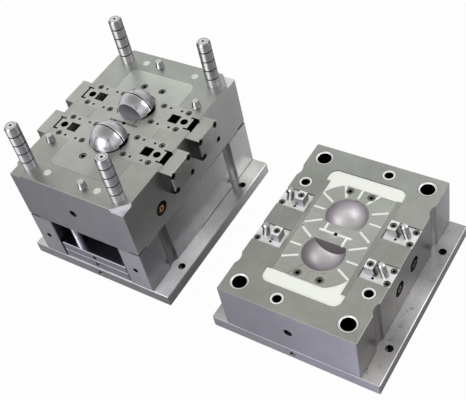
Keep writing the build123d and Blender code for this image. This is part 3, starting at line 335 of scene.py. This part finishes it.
CORE_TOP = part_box("core_plate")[1].z
CORE_MIDDLE = (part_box("core_plate")[0].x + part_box("core_plate")[1].x) / 2
DROP_X = 0.0797
DROP_Y = 0.1197
DROP_DEPTH = 0.0060
# Near black for painted shade in holes, slots and grooves.
SHADE_BLACK = (0.02, 0.02, 0.022)

core_steel = Finish("core_plate_steel")
plate = ground(
    core_steel, CORE_MIDDLE,
    top=((0.44, 0.44, 0.425), (0.48, 0.485, 0.465), (0.51, 0.52, 0.50), (0.49, 0.51, 0.485),
         (0.45, 0.475, 0.45)),
    ends=((0.27, 0.265, 0.285), (0.31, 0.305, 0.33), (0.36, 0.355, 0.40)),
    sides=((0.36, 0.357, 0.352), (0.37, 0.37, 0.36), (0.50, 0.50, 0.49), (0.46, 0.46, 0.46)),
    rough=0.36)
plate = paint(insert_joint(core_steel, CORE_MIDDLE) * 0.7, plate, (0.07, 0.07, 0.07))
rightward = core_steel.x - CORE_MIDDLE
drop = fade(abs(rightward), DROP_X - 0.0002, DROP_X + 0.0002)
drop = drop * fade(abs(core_steel.y), DROP_Y - 0.0002, DROP_Y + 0.0002)
drop = drop * band(core_steel.z, CORE_TOP - DROP_DEPTH, CORE_TOP - 0.0002)
# Walls of holes and slots are painted near black as shade.
walls = hidden(core_steel, CORE_MIDDLE) * (1 - drop)
plate = paint(walls * 0.92, plate, SHADE_BLACK)
# The dropped corners on the right get a painted highlight.
core_steel.connect(Base_Color=paint(drop * fade(rightward, 0.0, 0.01), plate, (0.86, 0.85, 0.90)))
core_steel.dress("core_plate")

# Spacer blocks
# Two ground steel bars, screwed between the clamp plate and the core plate, which leave room for the
# ejector plates. Tops and inner sides are painted dark as shade, the outer sides in painted light.
spacer_steel = Finish("spacer_steel")
# The tops, under the core plate, are painted dark as shade.
spacers = ground(
    spacer_steel, CORE_MIDDLE,
    top=even(0.07),
    ends=((0.42, 0.415, 0.44), (0.47, 0.465, 0.50), (0.53, 0.52, 0.585)),
    sides=((0.20, 0.20, 0.21), (0.25, 0.25, 0.26), (0.46, 0.465, 0.48), (0.58, 0.58, 0.59),
           (0.70, 0.70, 0.71)))
# The inner sides are painted dark as shade.
dim = hidden(spacer_steel, CORE_MIDDLE) * spacer_steel.sideways()
spacer_steel.connect(Base_Color=paint(dim * 0.7, spacers, (0.06, 0.06, 0.065)))
spacer_steel.dress("spacer_block_left", "spacer_block_right")

# Clamp plate of the core half
# The ground steel foot of the moving half, wider than the rest so that it can be clamped. Its overhang is
# matt in front, painted bright there as painted light and dim behind the middle as painted shade; each
# clamping hole is painted black as shade, with a painted highlight crescent.
CLAMP_HOLE_X = 0.1125
CLAMP_HOLE_Y = 0.085
CLAMP_HOLE_RADIUS = 0.0055
# Black for painted shade in holes and grooves, white for painted highlights in the clamping holes.
HOLE_SHADE = (0.01, 0.01, 0.01)
HOLE_HIGHLIGHT = (1.0, 1.0, 1.0)


def clamp_holes(finish, middle, colour):
    """The colour with painted black shade on the walls of the clamping holes, and a painted highlight
    where they look right.
    """
    from_hole = radius(abs(finish.x - middle) - CLAMP_HOLE_X, abs(finish.y) - CLAMP_HOLE_Y)
    wall_shade = (1 - fade(from_hole, CLAMP_HOLE_RADIUS, CLAMP_HOLE_RADIUS + 0.0002)) * finish.upright(0.3, 0.7)
    lit_wall = wall_shade * fade(finish.facing[0], 0.80, 0.92)
    return paint(lit_wall, paint(wall_shade, colour, HOLE_SHADE), HOLE_HIGHLIGHT)


core_clamp_steel = Finish("core_clamp_steel")
clamp = ground(
    core_clamp_steel, CORE_MIDDLE,
    top=((0.80, 0.79, 0.84), (0.84, 0.83, 0.88), (0.92, 0.91, 0.96), (0.95, 0.94, 0.98),
         (0.58, 0.58, 0.60), (0.42, 0.42, 0.42), (0.40, 0.405, 0.405), (0.82, 0.83, 0.82),
         (0.66, 0.68, 0.66)),
    ends=((0.39, 0.385, 0.41), (0.36, 0.355, 0.375), (0.345, 0.34, 0.355)),
    sides=((0.27, 0.265, 0.265), (0.26, 0.26, 0.26), (0.37, 0.37, 0.37), (0.56, 0.56, 0.56),
           (0.78, 0.78, 0.78)),
    right_edge=-0.1)
clamp = clamp_holes(core_clamp_steel, CORE_MIDDLE, clamp)
matt_front = core_clamp_steel.upward() * (1 - fade(core_clamp_steel.y, -0.03, 0.01))
core_clamp_steel.connect(Base_Color=clamp, Metallic=1 - matt_front * 0.75).dress("bottom_clamp_plate")

# Core insert
# Hardened steel let into the core plate and screwed from below, stoned along its width. Its top is painted
# lightest at the back as painted light, with painted shade at its right front corner and on its sides.
insert_steel = Finish("core_insert_steel")
stoned = ground(
    insert_steel, CORE_MIDDLE,
    top=((0.54, 0.54, 0.53), (0.54, 0.54, 0.53), (0.55, 0.56, 0.54), (0.62, 0.645, 0.62),
         (0.74, 0.78, 0.74)),
    ends=even(0.05),
    sides=even(0.05),
    lines=(60, 700, 700), rough=0.34, edge_highlight_share=0.0)
# Painted shade on the right front corner of the top.
corner_shade = fade(insert_steel.x - CORE_MIDDLE, 0.002, 0.020) * (1 - fade(insert_steel.y, -0.075, -0.045))
insert_steel.connect(Base_Color=paint(corner_shade * 0.36, stoned, (0.22, 0.22, 0.235))).dress("core_insert")

# Dome cores
# Turned and polished steel with a lavender cast, seated in the core insert by a step, with painted shade
# on the side turned away from the light. A groove painted black as shade runs over the crown beside a
# painted highlight line, and the flat towards the middle is duller and painted darker towards the top,
# with a painted highlight along its rim.
CAVITY_PITCH = 0.0675
CORE_RADIUS = 0.027
CORE_FLAT_Y = 0.017
CORE_FLAT_HEIGHT = 0.021
DARK_SIDE = (0.852, 0.5235)


def turn(finish):
    """How far a standing face turns from the lit side, at -1, to the dark one behind on the right, at 1:
    each part of its direction times that of the dark side, and both added."""
    return finish.facing[0] * DARK_SIDE[0] + finish.facing[1] * DARK_SIDE[1]


dome_steel = Finish("dome_steel")
across = dome_steel.x - CORE_MIDDLE
along = abs(dome_steel.y) - CAVITY_PITCH / 2
rise = dome_steel.z - CORE_TOP
# The groove is painted black as shade, and a painted highlight line runs beside it.
groove = (1 - fade(abs(along), 0.0007, 0.0010)) * fade(rise, 0.001, 0.002)
highlight_line = band(along, -0.0022, -0.0012) * fade(rise, 0.003, 0.006)
flat = fade(abs(dome_steel.facing[1]), 0.985, 0.995) * dome_steel.upright(0.05, 0.1)
flat = flat * (1 - fade(abs(dome_steel.y), CORE_FLAT_Y, CORE_FLAT_Y + 0.0005))
haze = dome_steel.grain((60, 60, 60), 4.0)
scratches = dome_steel.grain((900, 60, 60), 2.0)
polish = blend(haze, (0.46, 0.445, 0.485, 1), (0.62, 0.61, 0.645, 1))
# Painted shade on the side of the dome turned away from the light.
polish = paint(fade(turn(dome_steel), 0.35, 0.95) * 0.7, polish, (0.12, 0.11, 0.13))
polish = paint(highlight_line * 0.6, polish, (1.0, 1.0, 1.0))
# The flat is painted darker towards the top.
flat_darkening = tones(rise * (1 / CORE_FLAT_HEIGHT),
                  (0.36, 0.345, 0.38), (0.24, 0.23, 0.26), (0.16, 0.15, 0.175))
domes = paint(groove, blend(flat, polish, flat_darkening), HOLE_SHADE)
# A painted highlight along the rim of the flat.
rim = flat * fade(radius(radius(across, along), rise), CORE_RADIUS - 0.0012, CORE_RADIUS - 0.0004)
dome_steel.connect(Base_Color=paint(rim, domes, (0.95, 0.94, 0.97)),
                   Roughness=0.26 + (haze - 0.5) * 0.12 + flat * 0.15 + groove * 0.4,
                   Normal=dome_steel.relief(scratches, strength=0.03, distance=0.0002))
dome_steel.dress("dome_core_back", "dome_core_front")

# Slides and gibs
# Hardened and ground steel slides, held down by gibs that are screwed and dowelled. Their tones are
# painted light: walls below the parting face are painted nearly black as shade, the hooks above it in a
# lit grey, and the pockets for the wedge noses in painted shade, darker on the right.
UNITS = [f"{side}_{row}" for side in ("left", "right") for row in ("back", "front")]
POCKET_MIDDLE = 0.0643
POCKET_HALF_X = 0.0085
POCKET_HALF_Y = 0.0082
POCKET_CORNER = 0.001

unit_steel = Finish("unit_steel")
slides = ground(
    unit_steel, CORE_MIDDLE,
    top=((0.55, 0.55, 0.54), (0.57, 0.575, 0.56), (0.60, 0.61, 0.59)),
    ends=even(0.05),
    sides=even(0.05),
    edge_highlight_share=0.0)
rightward = unit_steel.x - CORE_MIDDLE
# Standing faces below the parting face are painted near black as shade; the hooks above it a lit grey.
sunk = 1 - fade(unit_steel.z, CORE_TOP - 0.0012, CORE_TOP - 0.0004)
hook = fade(unit_steel.z, CORE_TOP + 0.0003, CORE_TOP + 0.0006)
slides = paint(hook, paint(sunk * 0.85, slides, (0.04, 0.04, 0.04)), (0.60, 0.59, 0.61))
beyond_pocket = outline(abs(rightward) - POCKET_MIDDLE, abs(unit_steel.y) - CAVITY_PITCH / 2,
                        POCKET_HALF_X, POCKET_HALF_Y, POCKET_CORNER)
# The floors of the pockets are painted in shade, darker on the right.
pocket = (1 - fade(beyond_pocket, 0.0, 0.0003)) * sunk
pocket_shade = tones(fade(rightward, -0.01, 0.01), (0.42, 0.42, 0.43), (0.11, 0.11, 0.115))
unit_steel.connect(Base_Color=blend(pocket, slides, pocket_shade))
unit_steel.dress(*[f"{piece}_{unit}" for piece in ("slide", "gibs") for unit in UNITS])

# Stop blocks
# Ground steel blocks screwed to the sides of the core plate, which end the travel of the slides. Their
# tones are painted light, pale on top, and the faces towards the slides are painted black as shade.
BLOCK_INNER_X = 0.101

stop_steel = Finish("stop_block_steel")
blocks = ground(
    stop_steel, CORE_MIDDLE,
    top=((0.53, 0.535, 0.52), (0.54, 0.545, 0.525), (0.52, 0.525, 0.51)),
    ends=((0.17, 0.16, 0.165), (0.17, 0.16, 0.165)),
    sides=((0.56, 0.555, 0.53), (0.60, 0.595, 0.57), (0.50, 0.50, 0.48), (0.48, 0.48, 0.46)),
    edge_highlight_share=0.0, right_edge=0.25)
# The faces towards the slides are painted black as shade.
inner = 1 - fade(abs(stop_steel.x - CORE_MIDDLE), BLOCK_INNER_X - 0.0005, BLOCK_INNER_X + 0.0005)
stop_steel.connect(Base_Color=paint(inner * stop_steel.sideways(), blocks, (0.02, 0.02, 0.02)))
stop_steel.dress(*[f"stop_block_{unit}" for unit in UNITS])

# Guide pillars
# Hardened steel, ground round and held by a flange at the back of the core plate. The oil grooves, the
# slope at the tip and the centre hole are painted dark as shade, and a ring on the tip is dark too. Round
# the sides runs painted light: painted shade at the edges, a painted highlight stripe left of the middle,
# and a foot painted lighter.
PILLAR_X = 0.078
PILLAR_Y = 0.118
PILLAR_RADIUS = 0.010
PILLAR_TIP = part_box("guide_pillar_left_back")[1].z
TIP_HEIGHT = 0.0036
PLATE_TONE = (0.46, 0.465, 0.45)


def round_light_and_shade(finish, dark, mid, light):
    """Painted light round an upright pin: painted shade at both edges, a painted highlight stripe left of
    the middle, then mid.
    """
    place = turn(finish) * 0.5 + 0.5
    return place.node("ValToRGB", {"stops": [
        (0.0, shade(dark, 0.6)),
        (0.10, shade(dark)),
        (0.20, shade(mid)),
        (0.30, shade(light)),
        (0.41, shade(light)),
        (0.50, shade(mid, 1.25)),
        (0.66, shade(mid)),
        (0.86, shade(mid, 0.9)),
        (0.95, shade(mid, 1.2)),
        (1.0, shade(dark)),
    ]}, {0: place})


pillar_steel = Finish("pillar_steel")
off_axis = radius(abs(pillar_steel.x - CORE_MIDDLE) - PILLAR_X, abs(pillar_steel.y) - PILLAR_Y)
from_tip = pillar_steel.z - PILLAR_TIP
grooves = 1 - fade(off_axis, PILLAR_RADIUS - 0.00065, PILLAR_RADIUS - 0.0003)
grooves = grooves * (1 - fade(from_tip, -TIP_HEIGHT - 0.0004, -TIP_HEIGHT))
slope = band(from_tip, -TIP_HEIGHT, -0.0002) * fade(off_axis, 0.0078, 0.0081)
ring = band(off_axis, 0.0056, 0.0064) * fade(from_tip, -0.0003, -0.0001)
centre = 1 - fade(off_axis, 0.0019, 0.0022)
# The oil grooves, the slope at the tip and the centre hole are painted dark as shade.
dark = (grooves + slope * 0.5 + ring * 0.8 + centre).math("MINIMUM", 1.0)
rounds = pillar_steel.grain((40, 40, 2500), 2.0)
standing = pillar_steel.upright(0.5, 0.9)
pillars = blend(rounds, (0.78, 0.77, 0.79, 1), (0.90, 0.89, 0.91, 1))
# Standing faces get painted shade at the edges and a painted highlight stripe.
around = round_light_and_shade(pillar_steel, (0.08, 0.075, 0.085), (0.27, 0.258, 0.285), (1.0, 1.0, 1.0))
pillars = blend(standing, pillars, around)
# The foot is painted lighter as painted light.
foot = (1 - fade(pillar_steel.z, CORE_TOP + 0.002, CORE_TOP + 0.030)) * standing
pillars = paint(foot * 0.4, pillars, (0.55, 0.52, 0.56))
seat = fade(off_axis, PILLAR_RADIUS + 0.0001, PILLAR_RADIUS + 0.0002)
pillars = paint(seat, pillars, PLATE_TONE)
pillar_steel.connect(Base_Color=paint(dark, pillars, SHADE_BLACK), Metallic=1 - standing * 0.45,
                     Roughness=0.30 + (rounds - 0.5) * 0.1,
                     Normal=pillar_steel.relief(rounds, strength=0.04, distance=0.0002))
pillar_steel.dress(*[f"guide_pillar_{unit}" for unit in UNITS])

# Inclined pins, taper interlocks and ejector pins
# Round pins of hardened steel, ground bright: the first push the slides, the second centre the halves.
# The locating ring, the stop buttons and the sprue puller have the same finish, and all carry painted
# light.
pin_steel = Finish("pin_steel")
turning = pin_steel.grain((60, 60, 1500), 2.0)
level = fade(abs(pin_steel.facing[2]), 0.6, 0.9)
flush = band(pin_steel.z, CORE_TOP - 0.002, CORE_TOP + 0.0003) * pin_steel.upward(0.9, 0.97)
pins = blend(turning, (0.62, 0.61, 0.64, 1), (0.80, 0.79, 0.82, 1))
# Standing faces get painted shade at the edges and a painted highlight stripe.
around = round_light_and_shade(pin_steel, (0.05, 0.05, 0.055), (0.26, 0.255, 0.275), (1.0, 1.0, 1.0))
pins = blend(level, around, pins)
pin_steel.connect(Base_Color=paint(flush, pins, PLATE_TONE), Metallic=0.6 + level * 0.4,
                  Roughness=0.22 + (turning - 0.5) * 0.1,
                  Normal=pin_steel.relief(turning, strength=0.05, distance=0.0002))
pin_steel.dress(*[f"angle_pin_{unit}" for unit in UNITS], "interlock_pins", "ejector_pins", "sprue_puller",
                "stop_buttons", "locating_ring")

# Return pins
# Hardened pins, held by their heads between the ejector plates, which push these back when the mould
# closes. Flush with the parting face, they show as pale spotted discs.
RETURN_PIN_X = 0.044
RETURN_PIN_Y = 0.120

return_steel = Finish("return_pin_steel")
spots = return_steel.grain((500, 500, 60))
level = return_steel.upward()
off_axis = radius(abs(return_steel.x - CORE_MIDDLE) - RETURN_PIN_X, abs(return_steel.y) - RETURN_PIN_Y)
discs = blend(spots, (0.64, 0.67, 0.64, 1), (0.92, 0.95, 0.92, 1))
discs = paint(fade(off_axis, 0.0050, 0.0057), discs, (0.40, 0.41, 0.395))
# Standing faces get painted shade at the edges and a painted highlight stripe.
around = round_light_and_shade(return_steel, (0.06, 0.06, 0.065), (0.30, 0.295, 0.33), (1.0, 1.0, 1.0))
return_steel.connect(Base_Color=blend(level, around, discs), Metallic=0.7 - level * 0.3,
                     Roughness=0.3 + spots * 0.1)
return_steel.dress("return_pins")

# Ejector plates
# Two steel plates screwed together that travel between the spacer blocks, oily on top, with a dark joint
# between them. Their tones are painted light, pale and bluish on top and at the ends, with painted shade
# on the sides.
RETAINER_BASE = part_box("ejector_retainer_plate")[0].z

ejector_steel = Finish("ejector_steel")
plates = ground(
    ejector_steel, CORE_MIDDLE,
    top=((0.85, 0.84, 1.0), (0.7, 0.7, 0.8)),
    ends=((0.31, 0.30, 0.35), (0.38, 0.37, 0.43)),
    sides=even(0.1),
    rough=0.16, edge_highlight_share=0.0, right_edge=0.7)
joint = band(ejector_steel.z, RETAINER_BASE - 0.0003, RETAINER_BASE + 0.0003)
ejector_steel.connect(Base_Color=paint(joint * 0.8, plates, (0.03, 0.03, 0.035)))
ejector_steel.dress("ejector_plate", "ejector_retainer_plate")

# Cavity plate
# The plate that holds the cavity insert, of ground mould steel, with sides in painted shade. It is painted
# lighter to the right as painted light, the grooves down its sides get less painted shade than its holes,
# and a dark joint runs round every bush.
GROOVE_INNER_Y = 0.062
GROOVE_OUTER_Y = 0.108
GROOVE_INNER_X = 0.083
BUSH_JOINT = (0.0130, 0.0138)
SOCKET_AT_END = (0.020, 0.1215)
SOCKET_AT_SIDE = (0.081, 0.0675)
SOCKET_JOINT = (0.0089, 0.0096)

CAVITY_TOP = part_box("cavity_plate")[1].z
CAVITY_MIDDLE = (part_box("cavity_plate")[0].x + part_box("cavity_plate")[1].x) / 2
cavity_steel = Finish("cavity_plate_steel")
plate = ground(
    cavity_steel, CAVITY_MIDDLE,
    top=((0.50, 0.495, 0.475), (0.48, 0.48, 0.46), (0.44, 0.445, 0.43), (0.47, 0.48, 0.46),
         (0.50, 0.52, 0.50)),
    ends=((0.455, 0.45, 0.525), (0.46, 0.455, 0.52), (0.54, 0.53, 0.62)),
    sides=((0.175, 0.165, 0.16), (0.175, 0.167, 0.163), (0.20, 0.195, 0.19), (0.23, 0.23, 0.23),
           (0.42, 0.42, 0.43)),
    edge_highlight_share=0.10, front_edge=0.65)
rightward = cavity_steel.x - CAVITY_MIDDLE
# The plate is painted lighter to the right as painted light.
plate = scaled(plate, rightward * (0.11 / PLATE_HALF_WIDTH) + 0.99)
plate = paint(insert_joint(cavity_steel, CAVITY_MIDDLE) * 0.4, plate, (0.12, 0.12, 0.12))
off_x = abs(rightward)
off_y = abs(cavity_steel.y)
groove = band(off_y, GROOVE_INNER_Y, GROOVE_OUTER_Y) * fade(off_x, GROOVE_INNER_X, GROOVE_INNER_X + 0.001)
round_bush = band(radius(off_x - PILLAR_X, off_y - PILLAR_Y), *BUSH_JOINT)
at_ends = band(radius(off_x - SOCKET_AT_END[0], off_y - SOCKET_AT_END[1]), *SOCKET_JOINT)
at_sides = band(radius(off_x - SOCKET_AT_SIDE[0], off_y - SOCKET_AT_SIDE[1]), *SOCKET_JOINT)
diagonal = fade(rightward * cavity_steel.y, 0.0, 0.00001)
joint = round_bush + at_ends * diagonal + at_sides * (1 - diagonal)
plate = paint(joint * cavity_steel.upward() * 0.8, plate, (0.07, 0.07, 0.07))
# Walls of holes are painted near black as shade, the grooves down the sides less so.
walls = hidden(cavity_steel, CAVITY_MIDDLE) * (1 - groove * 0.85)
cavity_steel.connect(Base_Color=paint(walls * 0.92, plate, SHADE_BLACK)).dress("cavity_plate")

# Clamp plate of the cavity half
# The ground steel foot of the fixed half, held by the frame screws. Its overhang is painted brightest in
# front and at the middle as painted light, and has dull spots all over.
cavity_clamp_steel = Finish("cavity_clamp_steel")
clamp = ground(
    cavity_clamp_steel, CAVITY_MIDDLE,
    top=((0.76, 0.74, 0.77), (0.58, 0.56, 0.58), (0.44, 0.43, 0.45), (0.74, 0.74, 0.77),
         (0.96, 0.95, 0.98), (0.50, 0.49, 0.53), (0.48, 0.47, 0.50), (0.55, 0.54, 0.57),
         (0.48, 0.49, 0.50)),
    ends=((0.44, 0.43, 0.47), (0.50, 0.49, 0.55), (0.58, 0.56, 0.64)),
    sides=((0.21, 0.20, 0.205), (0.20, 0.19, 0.20), (0.20, 0.19, 0.20), (0.25, 0.25, 0.26)),
    edge_highlight_share=0.10, right_edge=-0.1, front_edge=0.65)
spots = fade(cavity_clamp_steel.grain((90, 90, 90)), 0.60, 0.68)
level = cavity_clamp_steel.upward()
clamp = paint(spots * level * 0.45, clamp, (0.20, 0.19, 0.20))
clamp = clamp_holes(cavity_clamp_steel, CAVITY_MIDDLE, clamp)
cavity_clamp_steel.connect(Base_Color=clamp, Metallic=1 - level * 0.4).dress("top_clamp_plate")

# Cavity insert and sprue bush
# Hardened steel with the two cavities, screwed into the cavity plate. The relieved ends, the vents and the
# runner are cut afresh, matt and near white; the cavities are polished, with a painted highlight inside
# and painted shade towards the rim and on their flat walls.
LAND_RADIUS = 0.055
LAND_HALF_WIDTH = 0.050
LAND_HALF_LENGTH = 0.08245
RELIEF_DEPTH = 0.0010
CAVITY_RADIUS = 0.0295
RUNNER_HALF_X = 0.0275
RUNNER_HALF_Y = 0.0148
RUNNER_CORNER = 0.001
RUNNER_DEPTH = 0.0030
GLOW_PLACE = (-0.0065, 0.0155, -0.0235)
GLOW_REACH = 0.036

cavity_insert = Finish("cavity_insert_steel")
land = ground(
    cavity_insert, CAVITY_MIDDLE,
    top=((0.50, 0.51, 0.48), (0.50, 0.51, 0.485), (0.54, 0.55, 0.54), (0.52, 0.54, 0.515),
         (0.50, 0.53, 0.50)),
    ends=even(0.3),
    sides=even(0.3),
    lines=(60, 700, 700), rough=0.26, edge_highlight_share=0.0)
across = cavity_insert.x - CAVITY_MIDDLE
along = cavity_insert.y
depth = cavity_insert.z - CAVITY_TOP
outward = abs(along) - CAVITY_PITCH / 2
from_pole = radius(across, outward)
from_sprue = radius(across, along)
side_strip = fade(abs(across), LAND_HALF_WIDTH - 0.0002, LAND_HALF_WIDTH + 0.0002)
land = scaled(land, 1.13 - side_strip * 0.28)
land = paint((1 - fade(from_sprue, 0.004, 0.010)) * 0.7, land, (0.85, 0.86, 0.85))

# Two corners of the relief and the three foremost vents keep the tone of the land.
within = 1 - fade(abs(along), LAND_HALF_LENGTH - 0.00015, LAND_HALF_LENGTH + 0.00015)
beyond = fade(from_pole, LAND_RADIUS - 0.0001, LAND_RADIUS + 0.0001)
plain_corner = fade(across * along, 0.0, 0.00001) * within * beyond
front_half = 1 - fade(along, -0.0001, 0.0001)
plain_vents = fade(outward - from_pole * 0.75, 0.0, 0.0003) * front_half * within * (1 - beyond)
cut = band(depth, -RELIEF_DEPTH - 0.0002, -0.0003, 0.0001) * cavity_insert.upward(0.5, 0.9)
cut = cut * (1 - plain_corner) * (1 - plain_vents)

# Each cavity has a painted highlight at a place left of its middle and behind it, and painted shade
# darkens it evenly from there.
hollow = 1 - fade(radius(from_pole, depth), CAVITY_RADIUS - 0.0001, CAVITY_RADIUS + 0.0001)
hollow = hollow * (1 - fade(depth, -0.0005, -0.0002))
row = fade(along, -0.0001, 0.0001) * CAVITY_PITCH - CAVITY_PITCH / 2
from_glow = radius(radius(across - GLOW_PLACE[0], along - row - GLOW_PLACE[1]), depth - GLOW_PLACE[2])
hollow_highlight = tones(1 - from_glow * (1 / GLOW_REACH), (0.30, 0.275, 0.31), (0.44, 0.41, 0.45),
              (0.80, 0.76, 0.80), (1.0, 0.98, 1.0), (1.0, 1.0, 1.0))
insert = blend(hollow, paint(cut, land, (0.98, 1.0, 0.97)), hollow_highlight)
# The flat walls of the cavities are painted dark as shade.
wall_shade = hollow * fade(abs(cavity_insert.facing[1]), 0.99, 0.999)
insert = paint(wall_shade, insert, (0.24, 0.215, 0.24))
runner = 1 - fade(outline(across, along, RUNNER_HALF_X, RUNNER_HALF_Y, RUNNER_CORNER), 0.0, 0.0003)
runner = runner * band(depth, -RUNNER_DEPTH, -0.0001, 0.0001)
insert = paint(runner, insert, (0.97, 0.97, 0.97))
# The sprue hole is painted black as shade.
insert = paint(1 - fade(from_sprue, 0.0024, 0.0030), insert, HOLE_SHADE)
matt = (cut * 0.9 + runner * 0.9 + hollow * 0.35).math("MINIMUM", 0.9)
cavity_insert.connect(Base_Color=insert, Metallic=1 - matt, Roughness=0.27 + hollow * 0.2)
cavity_insert.dress("cavity_insert", "sprue_bush")

# Wedge blocks
# Hardened and finely ground steel blocks, screwed and dowelled to the cavity plate, whose noses lock the
# slides. Their tones are painted light: near white on top, with painted shade on their sloped sides.
wedge_steel = Finish("wedge_steel")
wedges = ground(
    wedge_steel, CAVITY_MIDDLE,
    top=((0.92, 0.92, 0.93), (0.93, 0.94, 0.93)),
    ends=((0.60, 0.58, 0.64), (0.60, 0.58, 0.64)),
    sides=((0.22, 0.21, 0.21), (0.24, 0.23, 0.23)),
    rough=0.35, cloud=0.05)
wedge_steel.connect(Base_Color=wedges, Metallic=1 - wedge_steel.upward(0.9, 0.97) * 0.8)
wedge_steel.dress(*[f"wedge_block_{unit}" for unit in UNITS])

# Guide bushes and interlock sockets
# Hardened and turned steel let into the cavity plate, which takes the pillars and the taper interlocks:
# bores painted black as shade, bright mouths, those of the bushes in a grey rim with a dark edge.
BORE_FADE = (CAVITY_TOP - 0.0016, CAVITY_TOP - 0.0010)
BUSH_RIM = (0.0113, 0.0131)
BUSH_EDGE = (0.0131, 0.0140)

bush_steel = Finish("bush_steel")
# The bores are painted black as shade.
bore = 1 - fade(bush_steel.z, *BORE_FADE)
off_axis = radius(abs(bush_steel.x - CAVITY_MIDDLE) - PILLAR_X, abs(bush_steel.y) - PILLAR_Y)
turning = bush_steel.grain((900, 900, 60), 2.0)
face = bush_steel.upward(0.9, 0.97) * (1 - bore)
bushes = blend(turning, (0.88, 0.88, 0.89, 1), WHITE)
bushes = paint(face * band(off_axis, *BUSH_RIM), bushes, (0.62, 0.63, 0.62))
bushes = paint(face * band(off_axis, *BUSH_EDGE), bushes, (0.16, 0.16, 0.16))
bush_steel.connect(Base_Color=paint(bore, bushes, (0.015, 0.015, 0.016)), Metallic=1 - (1 - bore) * 0.7,
                   Roughness=0.25 + turning * 0.1)
bush_steel.dress(*[f"guide_bush_{unit}" for unit in UNITS], "interlock_sockets")

# Screws and dowels
# Alloy steel with a black oxide skin, with the flat of each head rubbed to grey-green. The flats lie at
# one level on the core half and at three on the cavity half.
HEAD_BANDS = (
    (CORE_TOP - 0.0008, CORE_TOP - 0.0002),
    (CAVITY_TOP - 0.0008, CAVITY_TOP - 0.0002),
    (CAVITY_TOP - 0.00255, CAVITY_TOP - 0.00195),
    (CAVITY_TOP + 0.0117, CAVITY_TOP + 0.0123),
)

black_steel = Finish("black_steel")
heads = sum(band(black_steel.z, *levels) for levels in HEAD_BANDS)
heads = (heads * black_steel.upward()).math("MINIMUM", 1.0)
rubbed = black_steel.grain((600, 600, 600))
grey_green = blend(rubbed, (0.10, 0.11, 0.10, 1), (0.30, 0.32, 0.29, 1))
black_steel.connect(Base_Color=blend(heads, (0.012, 0.012, 0.012, 1), grey_green),
                    Roughness=0.35 + rubbed * 0.2)
screws = [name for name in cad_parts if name.endswith("screws")]
black_steel.dress(*screws, "gib_dowels", "wedge_dowels")


# Water connections
# Turned brass hose nipples, screwed into the ends of the water bores, a little tarnished on the core half;
# on the cavity half, deep in their counterbores, they are painted nearly black as shade.
def tarnished(name, dull, bright, rough):
    """Brass whose colour goes from dull to bright, and whose roughness rises, with the tarnish."""
    brass = Finish(name)
    tarnish = brass.grain((300, 300, 300))
    return brass.connect(Base_Color=blend(tarnish, dull, bright), Roughness=rough + tarnish * 0.15)


core_brass = tarnished("brass", (0.60, 0.34, 0.16, 1), (0.90, 0.62, 0.33, 1), rough=0.18)
core_brass.dress("core_water_nipples")
# On the cavity half the nipples are painted nearly black as shade.
cavity_brass = tarnished("brass_in_painted_shade", (0.02, 0.016, 0.014, 1), (0.14, 0.11, 0.09, 1), rough=0.15)
cavity_brass.dress("cavity_water_nipples")
